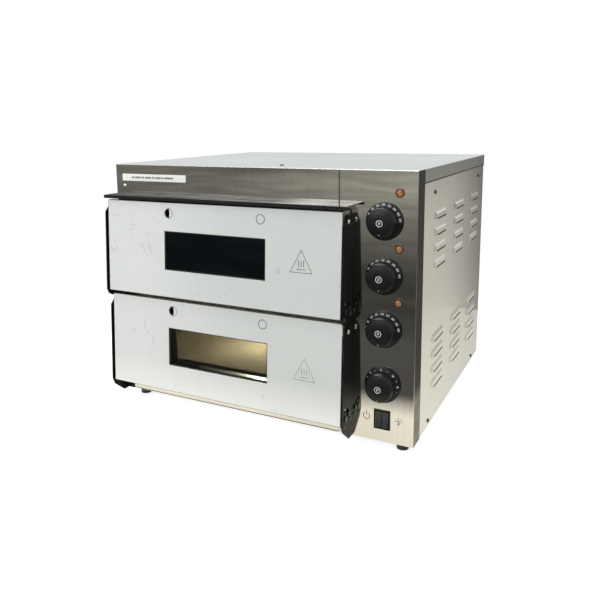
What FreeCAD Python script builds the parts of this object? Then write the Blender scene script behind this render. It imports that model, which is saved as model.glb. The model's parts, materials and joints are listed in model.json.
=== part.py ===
import FreeCAD, Part
import math
import os
from FreeCAD import Vector

# Countertop double-deck pizza oven.
# Working frame: X from the casing's left side to its right side, Y from the front sheet to the back,
# Z up from the underside of the casing.  Every piece is moved at export so that the origin lies at
# the centre of the oven's footprint, on the surface that its feet stand on.

# ---------------------------------------------------------------- casing (mm)
BODY_W = 560.0
BODY_D = 482.0
BODY_H = 424.0
SHEET = 1.0
COVER_FLANGE = 22.0
CORNER_RETURN = 33.0
CORNER_R = 1.5
PAN_FLANGE = 15.0
SEAM_X = 437.3
SEAM_GAP = 1.2
FOOT_R = 11.0
FOOT_H = 16.0
FOOT_INSET = 24.0

# ---------------------------------------------------------------- decks and chambers
DOOR_H = 163.2
DECK_PITCH = 171.0
LOWER_DOOR_Z = 29.4
DECKS = {"lower": LOWER_DOOR_Z, "upper": LOWER_DOOR_Z + DECK_PITCH}
CHAMBER_X0 = 30.0
CHAMBER_X1 = 430.0
CHAMBER_BACK = 401.0
CHAMBER_FLOOR = 16.0
CHAMBER_ROOF = 147.2
STONE_UNDER = 32.0
STONE_T = 12.0
STONE_FRONT = 6.0
STONE_BACK = 396.0
LEDGE_W = 16.0
LEDGE_T = 1.2

# ---------------------------------------------------------------- heating elements
TUBE_R = 4.0
ELEMENT_HEIGHTS = {"bottom": 25.0, "top": 131.0}
ELEMENT_ROWS = 6
ELEMENT_FIRST_ROW = 70.0
ELEMENT_ROW_STEP = 54.0
ELEMENT_LEFT_X = 80.0
ELEMENT_RIGHT_X = 375.0
ELEMENT_END_X = 452.0
STUD_R = 2.0
STUD_L = 10.0
TUBE_HOLE_R = 4.5

# ---------------------------------------------------------------- chamber lamps
LAMP_X = 360.0
LAMP_HEIGHT = 100.0
LENS_R = 15.0
LENS_FLANGE_R = 18.0
LENS_DEPTH = 14.0
LENS_WALL = 1.5
HOLDER_R = 15.0
HOLDER_NECK_R = 12.5
HOLDER_L = 40.0

# ---------------------------------------------------------------- doors
DOOR_X0 = 6.5
DOOR_X1 = 456.5
SKIN_Y_BOTTOM = -40.5
SKIN_Y_TOP = -31.5
SKIN_BACK = -5.0
SKIN_EDGE_R = 2.0
PAD_BACK = -1.5
PAD_X0 = 20.0
PAD_X1 = 440.0
PAD_LOW = 12.0
PAD_HIGH = 151.0
WINDOW_X = 228.5
WINDOW_W = 196.0
WINDOW_LOW = 47.6
WINDOW_HIGH = 114.2
HANDLE_SPACING = 178.0
HANDLE_HOLE_R = 7.5
HANDLE_HEIGHT = 144.6
GLASS_FRONT = 2.2
GLASS_T = 4.0
GLASS_LAP = 9.0
GASKET_BACK = 7.4
GASKET_LAP = 14.0
GASKET_LIP = 1.5
WELL_LAP = 8.0

# ---------------------------------------------------------------- door hinge
PIVOT_Y = -27.0
PIVOT_HEIGHT = 9.0
PIVOT_R = 3.0
PIVOT_CLEARANCE = 0.05
GUIDE_RADIUS = 14.0
GUIDE_START = 15.0
DOOR_SWING = 90.0
GUIDE_PIN_R = 2.5
GUIDE_SLOT_R = 2.8
PIN_HEAD_R = 5.0
PIN_HEAD_T = 1.6
PIN_NUT_T = 3.5
HEAD_GAP = 0.3

# ---------------------------------------------------------------- hinge side plates
PLATE_LEFT_X = 0.0
PLATE_RIGHT_X = 459.0
PLATE_T = 2.0
PLATE_FOOT_W = 16.0
PLATE_FOOT_T = 1.2
PLATE_TOP_DROP = 6.0
LOWER_PLATE_UNDER = -1.0

# ---------------------------------------------------------------- ledge over the upper door
LIP_X0 = 3.0
LIP_X1 = 463.5
LIP_FRONT = -38.0
LIP_TOP = 372.0
LIP_EDGE = 5.5
LIP_BACK_H = 10.0

# ---------------------------------------------------------------- controls
KNOB_X = 509.8
KNOB_HEIGHTS = [348.2, 265.3, 182.4, 94.1]
SKIRT_R = 28.5
SKIRT_BACK = -1.5
BAND_OUTER_R = 27.8
BAND_OUTER_Y = -4.0
BAND_INNER_R = 22.4
BAND_INNER_Y = -5.8
GRIP_R = 21.4
GRIP_FRONT = -25.5
BADGE_R = 6.6
BADGE_DEPTH = 0.6
SHAFT_R = 3.0
SHAFT_CLEARANCE = 0.05
SHAFT_FLAT = 2.0
SHAFT_FRONT = -17.5
SHAFT_END = 24.0
BRACKET_T = 1.5
BRACKET_HALF_W = 23.0
BRACKET_HALF_H = 10.0
CASE_EDGE_R = 3.0
THERMOSTAT_DEPTH = 23.5
THERMOSTAT_HALF_W = 19.0
THERMOSTAT_DRUM_R = 14.0
THERMOSTAT_DRUM_L = 10.5
TIMER_DEPTH = 34.0
TIMER_HALF_W = 23.0
TIMER_BELL_R = 16.0
TAB_SPACING = 20.0
TAB_HEIGHT = 8.0
TAB_W = 6.0
TAB_T = 0.8
TAB_L = 9.0
PANEL_SHAFT_HOLE_R = 5.0
LAMP_LIGHT_X = 532.6
LAMP_LIGHT_HEIGHTS = [390.9, 308.1, 226.1]
BEZEL_R = 7.0
BARREL_R = 5.6
LENS_POCKET_R = 4.9
BEZEL_T = 1.8
BARREL_L = 20.0
LENS_POCKET_L = 8.0
LENS_DOME_H = 2.2
SWITCH_X0 = 496.2
SWITCH_X1 = 522.6
SWITCH_Z0 = 20.4
SWITCH_Z1 = 52.4
ROCKER_W = 10.2
ROCKER_GAP = 1.0
ROCKER_TILT = -8.0
ROCKER_PIVOT_Y = 4.0
ROCKER_HALF_H = 12.6
ROCKER_TIP_Y = -4.6
ROCKER_WAIST_Y = -2.4
ROCKER_BACK_Y = 8.0
SWITCH_BEZEL_T = 2.0
SWITCH_STEP = 1.2
SWITCH_DEPTH = 27.0
POCKET_GAP = 2.1
POCKET_DEPTH = 14.0
SWITCH_TAB_X = 6.0
SWITCH_TAB_Z = 7.0
PROBE_R = 1.2
ROOF_PROBE_HEIGHT = 140.0
SAME_HEIGHT = 12.0
BULB_R = 3.0
BULB_X0 = 330.0
BULB_X1 = 426.0
PROBE_Y = 97.0
PROBE_BEND = 15.0
PROBE_START_Y = 28.0
PROBE_X = KNOB_X - 12.0

# ---------------------------------------------------------------- louvres, fasteners, cable entry
LOUVRE_COLUMNS = [99.0, 230.0, 361.0]
LOUVRE_W = 68.0
LOUVRE_H = 13.0
LOUVRE_OUT = 3.2
LOUVRE_WALL = 1.2
LOUVRE_TAPER = 10.0
LOUVRE_LIP = 1.2
LOUVRE_SLOT_H = 10.5
LOUVRE_PITCH = 26.3
LOUVRE_GROUPS = [58.0, 261.0]
LOUVRE_ROWS = 4
REAR_SLOTS = 5
REAR_SLOT_X0 = 470.0
REAR_SLOT_X1 = 530.0
REAR_SLOT_Z = 300.0
REAR_SLOT_PITCH = 14.0
REAR_SLOT_H = 4.0
SCREW_R = 1.9
SCREW_HOLE_R = 2.0
SCREW_HEAD_R = 3.8
SCREW_HEAD_H = 1.8
SCREW_L = 7.0
SHORT_SCREW_L = 2.0
SCREW_HIGH = 384.0
SCREW_LOW = 8.0
SIDE_SCREW_Y = [(96.6, 85.6), (430.6, 419.6)]
REAR_SCREW_X = [20.0, 280.0, 540.0]
FRONT_SCREW_X = 18.9
FRONT_SCREW_Z = 385.1
LIP_SCREW_X = [42.3, 416.0]
TOP_SCREW_X = 314.8
TOP_SCREW_Y = 48.0
PLATE_SCREW_INSET = 10.0
PLATE_SCREW_HEIGHTS = [30.0, 130.0]
PLATE_STOPS = [(-15.0, DOOR_H - 17.0), (-8.0, 3.0), (-32.5, -1.5)]
GLAND_X = 500.0
GLAND_Z = 60.0
GLAND_BORE_R = 4.0
GLAND_THREAD_R = 8.0
GLAND_BODY_R = 11.0
GLAND_OUT = 18.0
GLAND_IN = 14.0
GLAND_CAP_START = 8.0
GLAND_CAP_END = 14.0
GLAND_MOUTH_R = 7.0
BLOCK_Y = 380.0
BLOCK_L = 60.0
BLOCK_Z = 50.0
BLOCK_H = 32.0
BLOCK_OUT = 22.0
BLOCK_WAYS = 3
BLOCK_PITCH = 19.0
BLOCK_WELL = 10.0
BLOCK_WELL_R = 4.0

X_AXIS = Vector(1, 0, 0)
Y_AXIS = Vector(0, 1, 0)
Z_AXIS = Vector(0, 0, 1)

# The footprint: louvre hoods stand out on the right, pin heads on the left, hinge plates in front and
# the gland behind.
FRONTMOST = SKIN_Y_BOTTOM - 0.8
REARMOST = BODY_D - SHEET + GLAND_OUT
RIGHTMOST = BODY_W - SHEET + LOUVRE_OUT
LEFTMOST = PLATE_LEFT_X - HEAD_GAP - PIN_HEAD_T
TO_ORIGIN = Vector(-(LEFTMOST + RIGHTMOST) / 2, -(FRONTMOST + REARMOST) / 2, FOOT_H)


# ---------------------------------------------------------------- shape helpers
def box(x0, x1, y0, y1, z0, z1):
    return Part.makeBox(x1 - x0, y1 - y0, z1 - z0, Vector(x0, y0, z0))


def rod(start, axis, radius, length):
    return Part.makeCylinder(radius, length, start, axis)


def prism_x(outline, x0, x1):
    """Extrude a closed outline of (y, z) points from x0 to x1."""
    points = [Vector(x0, y, z) for y, z in outline]
    face = Part.Face(Part.makePolygon(points + points[:1]))
    return face.extrude(Vector(x1 - x0, 0, 0))


def turned(profile, centre):
    """Turn a closed profile of (radius, y) points about an axis along Y through centre."""
    points = [centre + Vector(radius, y, 0) for radius, y in profile]
    face = Part.Face(Part.makePolygon(points + points[:1]))
    return face.revolve(centre, Y_AXIS, 360)


def turned_edges(edges, centre):
    """Turn a closed loop of edges, drawn in the plane z = 0 about x = 0, round an axis along Y."""
    face = Part.Face(Part.Wire(edges))
    solid = face.revolve(Vector(0, 0, 0), Y_AXIS, 360)
    solid.translate(centre)
    return solid


def line(a, b):
    return Part.LineSegment(Vector(a[0], a[1], 0), Vector(b[0], b[1], 0)).toShape()


def arc(a, middle, b):
    return Part.Arc(Vector(a[0], a[1], 0), Vector(middle[0], middle[1], 0), Vector(b[0], b[1], 0)).toShape()


def dome(radius, base_y, tip_y):
    """Arc from the rim of a round cap to its tip on the axis, centred on that axis."""
    height = abs(base_y - tip_y)
    sphere = (radius ** 2 + height ** 2) / (2 * height)
    side = 1 if base_y > tip_y else -1
    half = math.asin(radius / sphere) / 2
    middle = (sphere * math.sin(half), tip_y + side * sphere * (1 - math.cos(half)))
    return arc((radius, base_y), middle, (0, tip_y))


def union(shapes):
    return shapes[0].multiFuse(shapes[1:]).removeSplitter()


def round_edges(shape, radius, wanted):
    """Round the straight edges whose two end points satisfy wanted(a, b)."""
    edges = [e for e in shape.Edges if wanted(e.Vertexes[0].Point, e.Vertexes[-1].Point)]
    return shape.makeFillet(radius, edges)


def export(name, shape):
    placed = shape.copy()
    placed.translate(TO_ORIGIN)
    solids = placed.Solids
    whole = solids[0] if len(solids) == 1 else Part.makeCompound(solids)
    whole.exportStep("parts/" + name + ".step")


# ---------------------------------------------------------------- fasteners
def screw(seat, outward, length):
    """Pan-head screw: seat is the point on the sheet, outward the direction that the head faces."""
    head = Part.makeCone(SCREW_HEAD_R, SCREW_HEAD_R * 0.6, SCREW_HEAD_H, seat, outward)
    shank = rod(seat - outward * length, outward, SCREW_R, length)
    return head.fuse(shank).removeSplitter()


def casing_screw_seats():
    seats = []
    for high_y, low_y in SIDE_SCREW_Y:
        for y, z in ((high_y, SCREW_HIGH), (low_y, SCREW_LOW)):
            seats.append((Vector(BODY_W - SHEET, y, z), X_AXIS))
            seats.append((Vector(SHEET, y, z), -X_AXIS))
    for x in REAR_SCREW_X:
        for z in (SCREW_LOW, SCREW_HIGH):
            seats.append((Vector(x, BODY_D - SHEET, z), Y_AXIS))
    seats.append((Vector(FRONT_SCREW_X, 0, FRONT_SCREW_Z), -Y_AXIS))
    for x in LIP_SCREW_X:
        seats.append((Vector(x, -SHEET, LIP_TOP - LIP_BACK_H / 2), -Y_AXIS))
    seats.append((Vector(TOP_SCREW_X, TOP_SCREW_Y, BODY_H), Z_AXIS))
    return seats


def plate_screw_seats():
    """Screws through the feet of the side plates into the front sheets."""
    seats = []
    for base in DECKS.values():
        for x in (PLATE_LEFT_X + PLATE_SCREW_INSET, PLATE_RIGHT_X - PLATE_SCREW_INSET):
            for height in PLATE_SCREW_HEIGHTS:
                seats.append((Vector(x, -PLATE_FOOT_T, base + height), -Y_AXIS))
    return seats


def plate_stop_seats():
    """Short screws and rivets in the webs of the side plates."""
    seats = []
    for base in DECKS.values():
        for y, height in PLATE_STOPS:
            seats.append((Vector(PLATE_RIGHT_X, y, base + height), X_AXIS))
            seats.append((Vector(PLATE_LEFT_X, y, base + height), -X_AXIS))
    return seats


def screws(seats, length):
    return [screw(seat, outward, length) for seat, outward in seats]


def screw_holes(seats):
    reach = SCREW_L + 1
    return Part.makeCompound([rod(s - o * reach, o, SCREW_HOLE_R, reach + 1) for s, o in seats])


# ---------------------------------------------------------------- casing
def base_pan():
    x0 = 2 * SHEET
    x1 = BODY_W - 2 * SHEET
    y1 = BODY_D - 2 * SHEET
    outer = box(x0, x1, SHEET, y1, 0, PAN_FLANGE)
    hollow = box(x0 + SHEET, x1 - SHEET, 2 * SHEET, y1 - SHEET, SHEET, PAN_FLANGE + 1)
    return outer.cut(hollow).cut(screw_holes(casing_screw_seats()))


def rear_panel():
    sheet = box(SHEET, BODY_W - SHEET, BODY_D - 2 * SHEET, BODY_D - SHEET, 0, BODY_H - SHEET)
    entry = rod(Vector(GLAND_X, BODY_D - 3 * SHEET, GLAND_Z), Y_AXIS, GLAND_THREAD_R, 4 * SHEET)
    slots = []
    for row in range(REAR_SLOTS):
        z = REAR_SLOT_Z + REAR_SLOT_PITCH * row
        slots.append(box(REAR_SLOT_X0, REAR_SLOT_X1, BODY_D - 3 * SHEET, BODY_D, z, z + REAR_SLOT_H))
    return sheet.cut(Part.makeCompound([entry] + slots)).cut(screw_holes(casing_screw_seats()))


def left_side_panel():
    sheet = box(SHEET, 2 * SHEET, SHEET, BODY_D - 2 * SHEET, 0, BODY_H - SHEET)
    return sheet.cut(screw_holes(casing_screw_seats()))


def louvre_places():
    return [(y, z + row * LOUVRE_PITCH)
            for y in LOUVRE_COLUMNS for z in LOUVRE_GROUPS for row in range(LOUVRE_ROWS)]


def louvre_hood(y, z, inset, depth):
    """Hipped hood whose foot lies in the side sheet and whose mouth faces down."""
    outline = [(0, 0), (depth, 0), (depth, LOUVRE_LIP), (depth * 0.62, LOUVRE_H * 0.66), (0, LOUVRE_H)]
    points = [Vector(BODY_W - SHEET + out, y, z + up) for out, up in outline]
    block = Part.Face(Part.makePolygon(points + points[:1])).extrude(Vector(0, LOUVRE_W, 0))
    for end, side in ((y, -1), (y + LOUVRE_W, 1)):
        corner = [Vector(BODY_W - SHEET, end, z - 1), Vector(BODY_W + LOUVRE_OUT, end, z - 1),
                  Vector(BODY_W + LOUVRE_OUT, end - side * LOUVRE_TAPER, z - 1)]
        wedge = Part.Face(Part.makePolygon(corner + corner[:1])).extrude(Vector(0, 0, LOUVRE_H + 2))
        block = block.cut(wedge)
    if inset:
        block.scale((LOUVRE_W - 2 * inset) / LOUVRE_W, Vector(BODY_W - SHEET, y + LOUVRE_W / 2, z))
    return block


def right_side_panel():
    outer = BODY_W - SHEET
    sheet = box(outer - SHEET, outer, SHEET, BODY_D - 2 * SHEET, 0, BODY_H - SHEET)
    for y, z in louvre_places():
        hood = louvre_hood(y, z, 0, LOUVRE_OUT)
        inside = LOUVRE_OUT - SHEET
        hollow = louvre_hood(y, z, LOUVRE_WALL, inside)
        end = y + LOUVRE_W
        slot = box(outer - 2 * SHEET, outer, y + 2 * LOUVRE_WALL, end - 2 * LOUVRE_WALL, z, z + LOUVRE_SLOT_H)
        mouth = box(outer, outer + inside, y + LOUVRE_TAPER, end - LOUVRE_TAPER, z - 1, z + LOUVRE_WALL)
        sheet = sheet.cut(slot).fuse(hood.cut(hollow).cut(mouth))
    return sheet.removeSplitter().cut(screw_holes(casing_screw_seats()))


def top_cover():
    outer = box(0, BODY_W, 0, BODY_D, BODY_H - COVER_FLANGE, BODY_H)
    outer = round_edges(outer, CORNER_R, lambda a, b: a.z > BODY_H - 1 and b.z > BODY_H - 1)
    hollow = box(SHEET, BODY_W - SHEET, -1, BODY_D - SHEET, BODY_H - COVER_FLANGE - 1, BODY_H - SHEET)
    front = box(-1, BODY_W + 1, -1, CORNER_RETURN + SHEET, BODY_H - COVER_FLANGE - 1, BODY_H - SHEET)
    return outer.cut(hollow).cut(front).cut(screw_holes(casing_screw_seats()))


def front_frame():
    sheet = box(0, SEAM_X - SEAM_GAP / 2, 0, CORNER_RETURN, 0, BODY_H - SHEET)
    sheet = round_edges(sheet, CORNER_R, lambda a, b: abs(a.x) + abs(a.y) + abs(b.x) + abs(b.y) < 0.1)
    sheet = sheet.cut(box(SHEET, BODY_W, SHEET, CORNER_RETURN + 1, -1, BODY_H))
    for base in DECKS.values():
        z0 = base + CHAMBER_FLOOR
        z1 = base + CHAMBER_ROOF
        sheet = sheet.cut(box(CHAMBER_X0, CHAMBER_X1, -1, 2 * SHEET, z0, z1))
    return sheet.cut(screw_holes(casing_screw_seats() + plate_screw_seats()))


def control_panel():
    sheet = box(SEAM_X + SEAM_GAP / 2, BODY_W, 0, CORNER_RETURN, 0, BODY_H - SHEET)
    sheet = round_edges(sheet, CORNER_R,
                        lambda a, b: a.x + b.x > 2 * BODY_W - 0.1 and abs(a.y) + abs(b.y) < 0.1)
    sheet = sheet.cut(box(0, BODY_W - SHEET, SHEET, CORNER_RETURN + 1, -1, BODY_H))
    for z in KNOB_HEIGHTS:
        sheet = sheet.cut(rod(Vector(KNOB_X, -1, z), Y_AXIS, PANEL_SHAFT_HOLE_R, 3 * SHEET))
    for z in LAMP_LIGHT_HEIGHTS:
        sheet = sheet.cut(rod(Vector(LAMP_LIGHT_X, -1, z), Y_AXIS, BARREL_R, 3 * SHEET))
    sheet = sheet.cut(box(SWITCH_X0 + SWITCH_STEP, SWITCH_X1 - SWITCH_STEP, -1, 2 * SHEET,
                          SWITCH_Z0 + SWITCH_STEP, SWITCH_Z1 - SWITCH_STEP))
    return sheet.cut(screw_holes(plate_screw_seats()))


def front_lip():
    edge = box(LIP_X0, LIP_X1, LIP_FRONT, LIP_FRONT + SHEET, LIP_TOP - LIP_EDGE, LIP_TOP)
    ledge = box(LIP_X0, LIP_X1, LIP_FRONT, 0, LIP_TOP - SHEET, LIP_TOP)
    back = box(LIP_X0, LIP_X1, -SHEET, 0, LIP_TOP - LIP_BACK_H, LIP_TOP)
    return union([edge, ledge, back]).cut(screw_holes(casing_screw_seats()))


def control_partition():
    sheet = box(SEAM_X - SHEET / 2, SEAM_X + SHEET / 2, SHEET, BODY_D - 2 * SHEET, SHEET, BODY_H - SHEET)
    sheet = sheet.cut(box(SEAM_X - 2, SEAM_X + 2, BODY_D - 3 * SHEET, BODY_D, 0, PAN_FLANGE))
    sheet = sheet.cut(box(SEAM_X - 2, SEAM_X + 2, 0, 2 * SHEET, 0, PAN_FLANGE))
    return sheet.cut(wall_holes())


def foot(x, y):
    return Part.makeCone(FOOT_R * 0.85, FOOT_R, FOOT_H, Vector(x, y, -FOOT_H), Z_AXIS)


def feet():
    return [foot(x, y) for x in (FOOT_INSET, BODY_W - FOOT_INSET) for y in (FOOT_INSET, BODY_D - FOOT_INSET)]


# ---------------------------------------------------------------- baking chambers
def wall_holes():
    """Holes for the element ends and sensing tubes through the right chamber wall and partition."""
    last_row = ELEMENT_FIRST_ROW + (ELEMENT_ROWS - 1) * ELEMENT_ROW_STEP
    start = CHAMBER_X1 - 2
    length = SEAM_X + 4 - start
    holes = []
    for base in DECKS.values():
        for height in ELEMENT_HEIGHTS.values():
            for y in (ELEMENT_FIRST_ROW, last_row):
                holes.append(rod(Vector(start, y, base + height), X_AXIS, TUBE_HOLE_R, length))
    for z in probe_heights():
        holes.append(rod(Vector(start, PROBE_Y, z), X_AXIS, PROBE_R + 0.5, length))
    return Part.makeCompound(holes)


def chamber_liner(base):
    z0 = base + CHAMBER_FLOOR
    z1 = base + CHAMBER_ROOF
    shell = box(CHAMBER_X0 - SHEET, CHAMBER_X1 + SHEET, SHEET, CHAMBER_BACK + SHEET, z0 - SHEET, z1 + SHEET)
    shell = shell.cut(box(CHAMBER_X0, CHAMBER_X1, 0, CHAMBER_BACK, z0, z1))
    under = base + STONE_UNDER
    for x in (CHAMBER_X0, CHAMBER_X1 - LEDGE_W):
        shell = shell.fuse(box(x, x + LEDGE_W, STONE_FRONT + 20, STONE_BACK, under - LEDGE_T, under))
    lamp = rod(Vector(LAMP_X, CHAMBER_BACK - 1, base + LAMP_HEIGHT), Y_AXIS, HOLDER_NECK_R, 4)
    return shell.removeSplitter().cut(lamp).cut(wall_holes())


def hearth_stone(base):
    z0 = base + STONE_UNDER
    slab = box(CHAMBER_X0 + 1, CHAMBER_X1 - 1, STONE_FRONT, STONE_BACK, z0, z0 + STONE_T)
    return round_edges(slab, 3.0, lambda a, b: abs(a.x - b.x) < 0.01 and abs(a.y - b.y) < 0.01)


def heating_element(base, height):
    """Round tube bent into parallel runs, with both ends through the right wall."""
    z = base + height
    rows = [ELEMENT_FIRST_ROW + i * ELEMENT_ROW_STEP for i in range(ELEMENT_ROWS)]
    turn = ELEMENT_ROW_STEP / 2
    bends = [ELEMENT_LEFT_X, ELEMENT_RIGHT_X] * (ELEMENT_ROWS // 2 - 1) + [ELEMENT_LEFT_X]
    edges = []
    start = ELEMENT_END_X
    for y, bend in zip(rows, bends):
        side = -1 if bend == ELEMENT_LEFT_X else 1
        middle = Vector(bend + side * turn, y + turn, z)
        after = Vector(bend, y + ELEMENT_ROW_STEP, z)
        edges.append(Part.LineSegment(Vector(start, y, z), Vector(bend, y, z)).toShape())
        edges.append(Part.Arc(Vector(bend, y, z), middle, after).toShape())
        start = bend
    edges.append(Part.LineSegment(Vector(start, rows[-1], z), Vector(ELEMENT_END_X, rows[-1], z)).toShape())
    section = Part.Wire(Part.Circle(Vector(ELEMENT_END_X, rows[0], z), X_AXIS, TUBE_R).toShape())
    tube = Part.Wire(edges).makePipeShell([section], True, True)
    studs = [rod(Vector(ELEMENT_END_X - 1, y, z), X_AXIS, STUD_R, STUD_L + 1) for y in (rows[0], rows[-1])]
    return union([tube] + studs)


def lamp_lens(base):
    tip = CHAMBER_BACK - LENS_DEPTH
    back = CHAMBER_BACK
    shoulder = tip + 8
    inner = LENS_R - LENS_WALL
    edges = [
        dome(LENS_R, shoulder, tip),
        line((LENS_R, shoulder), (LENS_R, back - 1.5)),
        line((LENS_R, back - 1.5), (LENS_FLANGE_R, back - 1.5)),
        line((LENS_FLANGE_R, back - 1.5), (LENS_FLANGE_R, back)),
        line((LENS_FLANGE_R, back), (inner, back)),
        line((inner, back), (inner, shoulder)),
        dome(inner, shoulder, tip + LENS_WALL),
        line((0, tip + LENS_WALL), (0, tip)),
    ]
    return turned_edges(edges, Vector(LAMP_X, 0, base + LAMP_HEIGHT))


def lamp_holder(base):
    centre = Vector(LAMP_X, 0, base + LAMP_HEIGHT)
    back = CHAMBER_BACK
    profile = [(0, back), (HOLDER_NECK_R, back), (HOLDER_NECK_R, back + SHEET), (HOLDER_R, back + SHEET),
               (HOLDER_R, back + HOLDER_L), (HOLDER_R * 0.6, back + HOLDER_L + 4), (0, back + HOLDER_L + 4)]
    bulb = Part.makeSphere(7.0, centre + Vector(0, back - 1.5, 0))
    return turned(profile, centre).fuse(bulb).removeSplitter()


def insulation_boards():
    """Rigid fibre boards above, between, below, beside and behind the two chambers."""
    gap = 0.5
    x0 = CHAMBER_X0 - SHEET
    x1 = CHAMBER_X1 + SHEET
    y0 = 3 * SHEET
    y1 = CHAMBER_BACK + SHEET
    low = DECKS["lower"]
    high = DECKS["upper"]
    floor = 2 * SHEET
    roof = BODY_H - 2 * SHEET
    boards = [
        box(x0, x1, y0, y1, floor, low + CHAMBER_FLOOR - SHEET - gap),
        box(x0, x1, y0, y1, low + CHAMBER_ROOF + SHEET + gap, high + CHAMBER_FLOOR - SHEET - gap),
        box(x0, x1, y0, y1, high + CHAMBER_ROOF + SHEET + gap, roof),
        box(3 * SHEET + gap, x0 - gap, y0, y1, floor, roof),
    ]
    rear = box(x0, x1, y1 + gap, BODY_D - 4 * SHEET, floor, roof)
    for base in DECKS.values():
        rear = rear.cut(rod(Vector(LAMP_X, y1, base + LAMP_HEIGHT), Y_AXIS, HOLDER_R + 1, HOLDER_L + 8))
    boards.append(rear)
    return [board.cut(screw_clearance()) for board in boards]


def screw_clearance():
    seats = casing_screw_seats() + plate_screw_seats()
    return Part.makeCompound([rod(s - o * 12, o, 4.0, 12) for s, o in seats])


# ---------------------------------------------------------------- doors
def skin_y(base, z):
    """Front of a door's skin, which leans back towards its top."""
    return SKIN_Y_BOTTOM + (SKIN_Y_TOP - SKIN_Y_BOTTOM) * (z - base) / DOOR_H


def leaning_slab(base, x0, x1, z0, z1, depth0, depth1):
    """Slab parallel to the skin, between two depths behind the skin's front."""
    outline = [(skin_y(base, z0) + depth0, z0), (skin_y(base, z1) + depth0, z1),
               (skin_y(base, z1) + depth1, z1), (skin_y(base, z0) + depth1, z0)]
    return prism_x(outline, x0, x1)


def window(base, lap):
    """X and Z limits of the window, grown by lap on every side."""
    half = WINDOW_W / 2 + lap
    return WINDOW_X - half, WINDOW_X + half, base + WINDOW_LOW - lap, base + WINDOW_HIGH + lap


def hinge_points(base):
    angle = math.radians(GUIDE_START)
    pivot = (PIVOT_Y, base + PIVOT_HEIGHT)
    guide = (pivot[0] + GUIDE_RADIUS * math.cos(angle), pivot[1] + GUIDE_RADIUS * math.sin(angle))
    return pivot, guide


def door_skin(base):
    top = base + DOOR_H
    outline = [(SKIN_Y_BOTTOM, base), (SKIN_Y_TOP, top), (SKIN_BACK, top), (SKIN_BACK, base)]
    solid = prism_x(outline, DOOR_X0, DOOR_X1)
    solid = round_edges(solid, SKIN_EDGE_R, lambda a, b: a.y < SKIN_Y_TOP + 1 and b.y < SKIN_Y_TOP + 1)
    low = base + SHEET
    high = top - SHEET
    hollow = [(skin_y(base, low) + SHEET, low), (skin_y(base, high) + SHEET, high),
              (SKIN_BACK + 1, high), (SKIN_BACK + 1, low)]
    solid = solid.cut(prism_x(hollow, DOOR_X0 + SHEET, DOOR_X1 - SHEET))
    x0, x1, z0, z1 = window(base, 0)
    solid = solid.cut(box(x0, x1, SKIN_Y_BOTTOM - 2, SKIN_Y_TOP + 6, z0, z1))
    for side in (-1, 1):
        start = Vector(WINDOW_X + side * HANDLE_SPACING / 2, SKIN_Y_BOTTOM - 2, base + HANDLE_HEIGHT)
        solid = solid.cut(rod(start, Y_AXIS, HANDLE_HOLE_R, 16))
    pivot, guide = hinge_points(base)
    for (y, z), radius in ((pivot, PIVOT_R), (guide, GUIDE_PIN_R)):
        for x in (DOOR_X0 - 1, DOOR_X1 - SHEET - 1):
            solid = solid.cut(rod(Vector(x, y, z), X_AXIS, radius, SHEET + 2))
    return solid


def door_inner_panel(base):
    top = base + DOOR_H
    rim = box(DOOR_X0, DOOR_X1, SKIN_BACK, SKIN_BACK + SHEET, base, top)
    pad = box(PAD_X0, PAD_X1, SKIN_BACK, PAD_BACK, base + PAD_LOW, base + PAD_HIGH)
    hollow = box(PAD_X0 + SHEET, PAD_X1 - SHEET, SKIN_BACK - 1, PAD_BACK - SHEET,
                 base + PAD_LOW + SHEET, base + PAD_HIGH - SHEET)
    x0, x1, z0, z1 = window(base, WELL_LAP)
    outline = [(skin_y(base, z0) + GASKET_BACK, z0), (skin_y(base, z1) + GASKET_BACK, z1),
               (PAD_BACK, z1), (PAD_BACK, z0)]
    well = prism_x(outline, x0, x1)
    opening = box(x0 + SHEET, x1 - SHEET, SKIN_Y_BOTTOM, 0, z0 + SHEET, z1 - SHEET)
    return rim.fuse(pad).cut(hollow).fuse(well).cut(opening).removeSplitter()


def door_gasket(base):
    x0, x1, z0, z1 = window(base, GASKET_LAP)
    ring = leaning_slab(base, x0, x1, z0, z1, SHEET, GASKET_BACK)
    x0, x1, z0, z1 = window(base, -GASKET_LIP)
    ring = ring.cut(leaning_slab(base, x0, x1, z0, z1, 0, GASKET_BACK + 1))
    return ring.cut(door_glass(base))


def door_glass(base):
    x0, x1, z0, z1 = window(base, GLASS_LAP)
    return leaning_slab(base, x0, x1, z0, z1, GLASS_FRONT, GLASS_FRONT + GLASS_T)


def side_pin(side, y, z, radius):
    """Shouldered pin from inside the door's side, through the side plate, to a head outside it."""
    inner = DOOR_X1 - SHEET if side > 0 else DOOR_X0 + SHEET
    face = PLATE_RIGHT_X if side > 0 else PLATE_LEFT_X
    axis = X_AXIS * side
    head_at = face + side * HEAD_GAP
    shank = rod(Vector(inner, y, z), axis, radius, abs(head_at - inner))
    head = rod(Vector(head_at, y, z), axis, PIN_HEAD_R if radius == PIVOT_R else PIN_HEAD_R - 1, PIN_HEAD_T)
    nut = rod(Vector(inner - side * PIN_NUT_T, y, z), axis, radius + 1.5, PIN_NUT_T)
    return union([shank, head, nut])


def door_pins(base):
    pivot, guide = hinge_points(base)
    pins = []
    for side in (-1, 1):
        pins.append(side_pin(side, pivot[0], pivot[1], PIVOT_R))
        pins.append(side_pin(side, guide[0], guide[1], GUIDE_PIN_R))
    return pins


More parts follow.
